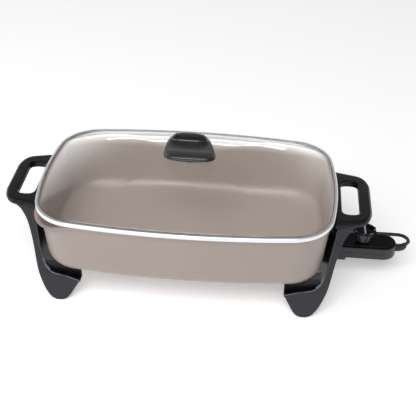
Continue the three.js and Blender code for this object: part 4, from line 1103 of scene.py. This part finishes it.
def makeDial():
    shape = dialShape
    low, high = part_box("dial_knob")
    middle = (low + high) / 2
    radius = (high.x - low.x) / 2
    top = high.z - shape["barRise"]
    levels = [(low.z + (top - low.z) * rise, radius * share, radius * share)
              for rise, share in shape["levels"]]
    dial = stackRings("dialKnob", levels, shape["facets"] * shape["stepsPerFacet"], dialOutline)
    for vertex in dial.data.vertices:  # the grooves and flats run out below the rim
        rise = (vertex.co.z - low.z) / (top - low.z)
        turn = math.atan2(vertex.co.y, vertex.co.x)
        part = min(max((rise - shape["grooveTop"]) / shape["grooveFade"], 0), 1)
        growth = 1 + (1 / math.hypot(*dialOutline(turn)) - 1) * part
        vertex.co.x *= growth
        vertex.co.y *= growth
    bevelEdges(dial, shape["edgeRound"], 2, 28)
    across, along, step = shape["barHalfWidth"], shape["barReach"], shape["inlayStep"]
    barTop = high.z - step
    bar = startBox("dialBar", (-across, -along, top - shape["barRoot"]), (across, along, barTop))
    bevelEdges(bar, shape["barRound"], 3)
    dial = placed(joinedPieces([dial, bar], "dialKnob"), (middle.x, middle.y, 0))
    finished(dial, "dial", glossPlastic, ("dial_knob",), 30)
    paintSkirtSheen(dial, middle)
    inlay = startBox("dialPointer", (step - across, step - along, barTop - shape["inlayDepth"]),
                     (across - step, along - step, high.z))
    bevelEdges(inlay, shape["inlayRound"])
    placed(inlay, (middle.x, middle.y, 0))
    finished(inlay, "dial", paleMarks)
    makeLegends(middle, top)


def paintSkirtSheen(dial, middle):  # the skirt's down-facing facets are satin and painted lighter as a painted sheen, and the grooves between them stay glossy
    dial.data.materials.append(mouldedMaterial("skirtSheenPlastic", skirtSheenLook))
    flatTo = halfFacet - 2 * halfFacet / dialShape["stepsPerFacet"]
    for face in dial.data.polygons:
        turn = math.atan2(face.center.y - middle.y, face.center.x - middle.x)
        if face.normal.z < -0.1 and abs(fromFacetMiddle(turn)) < flatTo:
            face.material_index = 1


def makeLegends(middle, top):
    shape = dialShape
    words = []
    for number, legend in enumerate(shape["legends"]):
        turn = 2 * math.pi * (shape["offFacet"] + number) / shape["facets"]
        chooseNothing()
        bpy.ops.object.text_add(location=(0, 0, 0))
        word = bpy.context.object
        word.data.body = legend
        word.data.size = shape["legendSize"]
        word.data.align_x = "CENTER"
        word.data.align_y = "CENTER"
        word.data.extrude = shape["legendDepth"]
        word.data.offset = shape["legendWeight"]
        bpy.ops.object.convert(target="MESH")
        place = (middle.x + shape["legendRadius"] * math.cos(turn),
                 middle.y + shape["legendRadius"] * math.sin(turn), top)
        words.append(placed(bpy.context.object, place, (0, 0, turn + math.pi / 2)))
    legends = joinedPieces(words, "dialLegends")
    finished(legends, "dial", paleMarks)


makeDial()
print("dial made")


# Strain relief: a ribbed boot that turns aside with the cord

bootShape = {
    "root": 4 * mm,
    "straight": 2.4 * mm,
    "bend": 13 * mm,
    "half": (4.2 * mm, 5.6 * mm),
    "taper": 0.26,
    "squareness": 0.42,
    "sides": 28,
    "ribs": 5,
    "ribFrom": 5.4 * mm,
    "ribPitch": 2.8 * mm,
    "ribDepth": 0.7 * mm,
    "groove": [(0, 0), (0.1, 1), (0.32, 1), (0.42, 0)],  # shares of the ribs' pitch and depth
    "tip": (0.4 * mm, 0.8),  # how far from the end it rounds in, and by what share of the ribs' depth
    "edgeRound": 0.12 * mm,
}


def bootLevels():
    shape = bootShape
    length = shape["root"] + shape["straight"] + shape["bend"] * cordShape["heading"]
    marks = [(0, 0), (shape["root"], 0)]
    for rib in range(shape["ribs"]):
        start = shape["ribFrom"] + rib * shape["ribPitch"]
        marks += [(start + shape["ribPitch"] * along, depth) for along, depth in shape["groove"]]
    marks += [(length - shape["tip"][0], 0), (length, shape["tip"][1])]
    levels = []
    for along, depth in marks:
        size = 1 - shape["taper"] * along / length
        cut = depth * shape["ribDepth"]
        levels.append((along, shape["half"][0] * size - cut, shape["half"][1] * size - cut))
    return levels


def makeBoot():
    shape = bootShape
    boot = stackRings("strainRelief", bootLevels(), shape["sides"], squared(shape["squareness"]))
    straight = shape["root"] + shape["straight"]
    for vertex in boot.data.vertices:
        aside, up, along = vertex.co
        turn = max(along - straight, 0) / shape["bend"]
        reach = shape["bend"] - aside
        x = controlEnd - shape["root"] + min(along, straight) + reach * math.sin(turn)
        vertex.co = (x, shape["bend"] - reach * math.cos(turn), cordShape["exitHeight"] + up)
    faceOutwards(boot)
    bevelEdges(boot, shape["edgeRound"], 2, 30)
    finished(boot, "control", blackRubber, ("strain_relief",), 35)


makeBoot()
print("strain relief made")


# Plug: a moulded body with finger grooves and two flat blades

plugShape = {
    "neck": [  # distance from the cord, half width and half height, in mm
        (0, 3.1, 3.1),
        (0.5, 3.4, 3.4),
        (3, 3.5, 3.5),
        (3.2, 3.1, 3.1),
        (4.2, 3.1, 3.1),
        (4.4, 3.6, 3.7),
        (6.4, 3.7, 3.8),
        (6.6, 3.2, 3.3),
        (7.6, 3.3, 3.4),
        (7.8, 3.8, 4.2),
        (9, 3.9, 4.6),
        (11, 5.4, 6.6),
        (13, 6.3, 7.9),
        (14.4, 6.6, 8.3),
    ],
    "grip": (6.6, 8.3),  # half width and half height past the neck
    "grooves": (15, 18, 21),  # where the finger grooves start
    "groove": [(0, 0), (0.4, 0.5), (1.6, 0.5), (2, 0)],  # distance from there, and depth
    "end": [(26.4, 0), (27, 0.5)],
    "squareness": 0.45,
    "sides": 36,
    "edgeRound": 0.18 * mm,
    "bladeTip": 1.6 * mm,
    "bladeTipSize": (0.62, 1, 0.5),
    "bladeRound": 0.12 * mm,
}


def plugLevels():
    shape = plugShape
    marks = [(start + along, depth) for start in shape["grooves"] for along, depth in shape["groove"]]
    width, height = shape["grip"]
    sizes = shape["neck"] + [(along, width - depth, height - depth) for along, depth in marks + shape["end"]]
    return [(along * mm, halfWidth * mm, halfHeight * mm) for along, halfWidth, halfHeight in sizes]


def makeBlade(node):  # flat, with a narrowed tip
    shape = plugShape
    blade = cadCopy(node)
    low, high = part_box(node)
    editFaces(blade, lambda face: face.center.y < low.y + 0.1 * mm)
    bpy.ops.transform.translate(value=(0, shape["bladeTip"], 0))
    bpy.ops.mesh.extrude_region_move(TRANSFORM_OT_translate={"value": (0, -shape["bladeTip"], 0)})
    bpy.ops.transform.resize(value=shape["bladeTipSize"],
                             center_override=((low.x + high.x) / 2, low.y, (low.z + high.z) / 2))
    objectMode()
    bevelEdges(blade, shape["bladeRound"])
    return finished(blade, "control", brightSteel, (node,))


def makePlug():
    shape = plugShape
    low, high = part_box("plug_body")
    body = stackRings("plugBody", plugLevels(), shape["sides"], squared(shape["squareness"]))
    placed(body, ((low.x + high.x) / 2, high.y, (low.z + high.z) / 2), (math.pi / 2, 0, 0))
    bevelEdges(body, shape["edgeRound"], 2, 30)
    finished(body, "control", blackRubber, ("plug_body",), 35)
    return [body, makeBlade("plug_blade_lower"), makeBlade("plug_blade_upper")]


plugPieces = makePlug()
print("plug made")


# Screws: pan heads with a cross recess, one for each kind and copied

faceDown, faceLeft, faceRight = (math.pi, 0, 0), (0, -math.pi / 2, 0), (0, math.pi / 2, 0)

screwShape = {
    "sides": 32,
    "head": [(1, 0.96), (0.93, 1), (0.5, 0.99), (0.22, 0.9), (0.05, 0.7), (0, 0.5)],  # down, and outwards
    "crossHalfWidth": 0.13,  # shares of the head's radius
    "crossReach": 0.62,
    "crossDepth": 0.6,  # share of the head's height
    "threadPitch": 1.1 * mm,
    "threadRoot": 0.84,  # share of the shank's radius
    "kinds": {  # head's radius and height, shank's radius and the length in mm, body, and where each faces
        "bracket_screw": ((3.6, 2.2, 1.7, 10.8), "skillet", {
            "left_bracket_screw_front": faceLeft,
            "left_bracket_screw_back": faceLeft,
            "right_bracket_screw_front": faceRight,
            "right_bracket_screw_back": faceRight,
        }),
        "guard_screw": ((3.6, 1.9, 1.8, 18.9), "skillet", {
            "guard_screw_front": faceDown,
            "guard_screw_back": faceDown,
        }),
        "control_screw": ((2.6, 1.3, 1.3, 13.7), "control", {
            "control_screw_front": faceDown,
            "control_screw_back": faceDown,
        }),
        "knob_screw": ((4.2, 2.2, 2.4, 25.8), "lid", {"knob_screw": faceDown}),
    },
}


def makeScrew(name, headRadius, headHeight, shankRadius, length):  # along +Z, its head's top at 0
    shape = screwShape
    thread = -length + shankRadius
    radii = [(-length, shankRadius / 2), (thread, shankRadius)]
    for turn in range(int((length - headHeight - shankRadius * 2) / shape["threadPitch"])):
        start = thread + turn * shape["threadPitch"]
        radii.append((start + shape["threadPitch"] * 0.4, shankRadius * shape["threadRoot"]))
        radii.append((start + shape["threadPitch"], shankRadius))
    radii.append((-headHeight, shankRadius))
    radii += [(-headHeight * down, headRadius * out) for down, out in shape["head"]]
    screw = stackRings(name, [(height, radius, radius) for height, radius in radii], shape["sides"])
    across = headRadius * shape["crossReach"]
    narrow = headRadius * shape["crossHalfWidth"]
    deep = -headHeight * shape["crossDepth"]
    bars = [startBox("crossBar", (-across, -narrow, deep), (across, narrow, headHeight)),
            startBox("crossBar", (-narrow, -across, deep), (narrow, across, headHeight))]
    for bar in bars:
        useModifier(screw, "BOOLEAN", operation="DIFFERENCE", object=bar, solver="EXACT")
        bpy.data.objects.remove(bar)
    return screw


def makeScrews():
    for kind, (sizes, body, seats) in screwShape["kinds"].items():
        pattern = makeScrew(kind, *(size * mm for size in sizes))
        material, slot = (brightSteel, "bright_steel") if kind == "knob_screw" else (dullSteel, "dull_steel")
        for node, turn in seats.items():
            low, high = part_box(node)
            top = (low + high) / 2
            if turn == faceDown:
                top.z = low.z
            else:
                top.x = low.x if turn == faceLeft else high.x
            screw = placed(copyOf(pattern, node.title().replace("_", "")), top, turn)
            finished(screw, body, material, (node,), 30)
        bpy.data.objects.remove(pattern)


makeScrews()
print("screws made")


# Brackets: a carrying loop and its walls, and a fin-shaped panel down to each foot

bracketShape = {
    "reach": 48.5 * mm,  # of the loop past the pan's lip
    "top": 124.4 * mm,
    "loopThickness": 10.4 * mm,
    "outer": [(0.66, 0.965), (0.515, 0.932), (0.4, 0.89), (0.25, 0.797), (0.135, 0.669), (0.045, 0.531),
              (-0.03, 0.394), (-0.12, 0.261), (-0.29, 0.123), (-0.46, 0.039), (-0.59, 0.009), (-0.69, 0)],
    "foot": [(-0.76, 0), (-0.86, 0.01), (-0.985, 0.044), (-1.13, 0.123), (-1.27, 0.207)],
    "inner": [(-0.9, 0.246), (-0.515, 0.274), (-0.33, 0.322), (-0.217, 0.394), (-0.09, 0.579),
              (0.01, 0.804), (0.085, 0.965)],
    "stepsPerSpan": 6,
    "topHalfWidth": 55.8 * mm,
    "footHalfWidth": 111.8 * mm,
    "panel": 4 * mm,
    "padDepth": 12 * mm,
    "padHeight": 9 * mm,
    "padInset": 0.5 * mm,
    "clearance": 0.1 * mm,
    "panelGrowth": 0.25 * mm,  # over the solid's own panel
    "edgeRound": 0.9 * mm,
    "wallRound": 0.6 * mm,
    "shelfReach": 62.2 * mm,  # in from the pan's lip
    "shelfLength": 0.25,  # share of the loop's reach
    "shelfLow": 23 * mm,
    "shelfHigh": 26 * mm,
    "shelfDepth": 15 * mm,
}


def smoothThrough(points, steps):  # a spline that passes through every point
    around = [points[0]] + list(points) + [points[-1]]
    curve = []
    for before, first, second, after in zip(around, around[1:], around[2:], around[3:]):
        for step in range(steps):
            part = step / steps
            start, end = (second - before) / 2, (after - first) / 2
            curve.append((2 * first - 2 * second + start + end) * part ** 3
                         + (3 * second - 3 * first - 2 * start - end) * part ** 2 + start * part + first)
    return curve + [points[-1]]


def legHalfWidth(height):
    shape = bracketShape
    return shape["footHalfWidth"] - (shape["footHalfWidth"] - shape["topHalfWidth"]) * height / shape["top"]


def legSlant():  # how much longer a cut along Y is than one square to a panel
    shape = bracketShape
    return math.hypot(1, (shape["footHalfWidth"] - shape["topHalfWidth"]) / shape["top"])


def legOutline(growth):  # reach and height round a leg, moved out by the growth and kept above the floor
    shape = bracketShape
    outline = []
    for part in ("outer", "foot", "inner"):
        shares = [Vector((reach * shape["reach"], rise * shape["top"])) for reach, rise in shape[part]]
        outline += smoothThrough(shares, shape["stepsPerSpan"])
    grown = []
    for number, place in enumerate(outline):
        run = outline[(number + 1) % len(outline)] - outline[number - 1]
        out = Vector((-run.y, run.x)).normalized() * growth
        grown.append((place.x + out.x, max(place.y + out.y, 0)))
    return grown


def legFin(name, side, end, growth, inset, depth):  # a leg's outline, moved in and thickened along Y
    places = []
    for reach, height in legOutline(growth):
        aside = end * (legHalfWidth(height) - inset * legSlant())
        places.append((panMiddle + side * (panOutline["halfLength"] + reach), aside, height))
    fin = oneFace(name, places)
    editFaces(fin, lambda face: True)
    bpy.ops.mesh.extrude_region_move(TRANSFORM_OT_translate={"value": (0, -end * depth * legSlant(), 0)})
    faceOutwards(fin)
    return fin


def paintLegPanels(bracket, side):  # satin outside and painted lighter as painted light, with a glossy inner edge painted light grey as a painted highlight; the loop and the walls behind stay black
    shape = bracketShape
    bracket.data.materials.append(litSatinPlastic)
    bracket.data.materials.append(edgeHighlightPlastic)
    slant = legSlant()
    for face in bracket.data.polygons:
        end = 1 if face.center.y > 0 else -1
        past = (end * face.center.y - legHalfWidth(face.center.z)) / slant  # beyond the panel's outer face
        facing = face.normal.y * end  # how far it looks outwards, and towards the pan
        inward = -face.normal.x * side
        if face.center.z > shape["top"] - shape["loopThickness"] or past < -shape["panel"]:
            continue
        # the panels' outward faces: painted lighter, as painted light
        if facing > 0.8:
            face.material_index = 1
        # the panels' inner edges: a painted highlight
        elif inward > 0.6 or past > -shape["edgeRound"] and facing > 0.2 and inward > 0.1:
            face.material_index = 2


def makeLeg(side, end):  # one leg's panel, the pad under its foot, and the shelf between it and the pan
    shape = bracketShape
    growth, thickness = shape["panelGrowth"], shape["panel"]
    panel = legFin("legPanel", side, end, growth, -growth, thickness + growth * 2)
    bevelEdges(panel, shape["edgeRound"], 3, 50)
    pad = legFin("footPad", side, end, -shape["padInset"], thickness / 2, shape["padDepth"] - thickness / 2)
    cutPiece(pad, (0, 0, shape["padHeight"]), (0, 0, 1), False)
    bevelEdges(pad, shape["wallRound"], 2, 50)
    tip = panMiddle + side * (panOutline["halfLength"] - shape["shelfReach"])
    outer = legHalfWidth(shape["shelfLow"]) - thickness / 2
    front, back = sorted((end * outer, end * (outer - shape["shelfDepth"])))
    left, right = sorted((tip, tip + side * shape["reach"] * shape["shelfLength"]))
    shelf = startBox("legShelf", (left, front, shape["shelfLow"]), (right, back, shape["shelfHigh"]))
    bevelEdges(shelf, shape["wallRound"] / 2)
    return [panel, pad, shelf]


def makeBracket(node, side):
    shape = bracketShape
    bracket = cadCopy(node)
    name = bracket.name
    cutPiece(bracket, (0, 0, shape["padHeight"] + shape["clearance"]), (0, 0, 1), True)
    bevelEdges(bracket, shape["wallRound"])
    bracket = joinedPieces([bracket] + makeLeg(side, 1) + makeLeg(side, -1), name)
    finished(bracket, "skillet", bracketPlastic, (node,), 40)
    useModifier(bracket, "WEIGHTED_NORMAL", keep_sharp=True)  # or the bevels shade stars over the flat walls
    paintLegPanels(bracket, side)


makeBracket("left_bracket", -1)
makeBracket("right_bracket", 1)
print("brackets made")


# Guard, control shells, sheathed element and the small inner parts, from their CAD solids

smoothPieces = [  # node, body, material, slot, and the round of its edges in mm
    ("terminal_guard", "skillet", bracketPlastic, "black_phenolic", 0.3),
    ("heating_element", "skillet", elementSheath, "dull_steel", 0),
    ("control_top", "control", glossPlastic, "black_gloss_plastic", 0.35),
    ("control_bottom", "control", glossPlastic, "black_gloss_plastic", 0.35),
    ("knob_gasket", "lid", blackRubber, "black_rubber", 0.2),
    ("lid_washer", "lid", brightSteel, "bright_steel", 0.15),
    ("probe_tube", "control", brightSteel, "bright_steel", 0.2),
    ("terminal_pin_front", "skillet", brightSteel, "bright_steel", 0.4),
    ("contact_sleeve_front", "control", copperAlloy, "copper_alloy", 0.2),
    ("terminal_pin_back", "skillet", brightSteel, "bright_steel", 0.4),
    ("contact_sleeve_back", "control", copperAlloy, "copper_alloy", 0.2),
    ("dial_shaft", "dial", brightSteel, "bright_steel", 0.3),
    ("switch_base", "control", whiteCeramic, "white_ceramic", 0.3),
    ("contact_blade", "control", copperAlloy, "copper_alloy", 0.12),
    ("bimetal_blade", "control", dullSteel, "dull_steel", 0.12),
]


def makeSmoothPieces():
    for node, body, material, slot, edgeRound in smoothPieces:
        piece = cadCopy(node, edgeRound > 0)
        if edgeRound:
            bevelEdges(piece, edgeRound * mm)
            finished(piece, body, material, (node,), 40)
            useModifier(piece, "WEIGHTED_NORMAL", keep_sharp=True)
        else:  # the element, a round tube that is smoothed all over
            useModifier(piece, "SUBSURF", levels=2, render_levels=2)
            finished(piece, body, material, (node,), 60)
        if node in ("control_top", "control_bottom"):  # glossy above and below; the sides satin and painted lighter, as painted light
            piece.data.materials.append(litSatinPlastic)
            for face in piece.data.polygons:
                face.material_index = int(abs(face.normal.z) < 0.6)


makeSmoothPieces()
print("smooth pieces made")


# Floor, backdrop and light

studio = {
    "floorSize": 12,
    "floorColour": (252, 252, 253),
    "floorRoughness": 0.9,
    "floorGlow": 0.3,
    "low": 0.75,  # strength of the backdrop round the front
    "behind": 2.0,  # and behind the part
    "depth": (-0.2, 0.5),  # between which it changes, from front to back
    "high": 0.13,  # strength overhead
    "fade": (0.08, 0.5),  # height share over which it darkens
    "lights": {  # place, aim, width and height, and watts
        "keyLight": ((-0.3, -1.8, 2.6), (0, 0, 0), (2.6, 1.6), 72),
        "leftLight": ((-1.9, -0.7, 0.8), (-0.1, 0, 0.1), (0.9, 0.9), 9),
        "backStrip": ((-0.2, 2.2, 0.626), (-0.02, 0, 0.17), (1.38, 0.08), 1.2),
        "backGlint": ((0.39, 2.2, 0.658), (-0.02, 0, 0.17), (0.19, 0.12), 0.43),
    },
}
white = (1, 1, 1, 1)


def makeFloor():
    chooseNothing()
    bpy.ops.mesh.primitive_plane_add(size=studio["floorSize"], location=(0, 0, 0))
    floor = named("studioFloor")
    material = bpy.data.materials.new("studioPaper")
    material.use_nodes = True
    setInputs(material.node_tree.nodes["Principled BSDF"], {
        "Base Color": colour(*studio["floorColour"]),
        "Roughness": studio["floorRoughness"],
        "Emission Color": white,
        "Emission Strength": studio["floorGlow"],
    })
    floor.data.materials.append(material)


def addFade(tree, span, strengths):  # a smooth change from one strength to another
    return addNode(tree, "ShaderNodeMapRange", {
        "From Min": span[0],
        "From Max": span[1],
        "To Min": strengths[0],
        "To Max": strengths[1],
    }, interpolation_type="SMOOTHSTEP")


def makeWorld():  # a white backdrop, brightest behind the part, that darkens overhead
    world = bpy.data.worlds.new("studioWorld")
    world.use_nodes = True
    tree = world.node_tree
    background = tree.nodes["Background"]
    setInputs(background, {"Color": white})
    place = addNode(tree, "ShaderNodeTexCoord")
    parts = addNode(tree, "ShaderNodeSeparateXYZ")
    depth = addFade(tree, studio["depth"], (studio["low"], studio["behind"]))
    height = addFade(tree, studio["fade"], (0, studio["high"]))
    wire(tree,
         (place, "Generated", parts, "Vector"),
         (parts, "Y", depth, "Value"),
         (parts, "Z", height, "Value"),
         (depth, "Result", height, "To Min"),
         (height, "Result", background, "Strength"))
    bpy.context.scene.world = world


def addSoftLight(name, place, aim, size, power):
    data = bpy.data.lights.new(name, "AREA")
    data.shape = "RECTANGLE"
    data.size, data.size_y = size
    data.energy = power
    lamp = linked(name, data)
    lamp.location = place
    lamp.rotation_euler = (Vector(aim) - Vector(place)).to_track_quat("-Z", "Y").to_euler()


makeFloor()
makeWorld()
for name, settings in studio["lights"].items():
    addSoftLight(name, *settings)
bpy.context.scene.view_settings.view_transform = "Standard"
print("studio set")
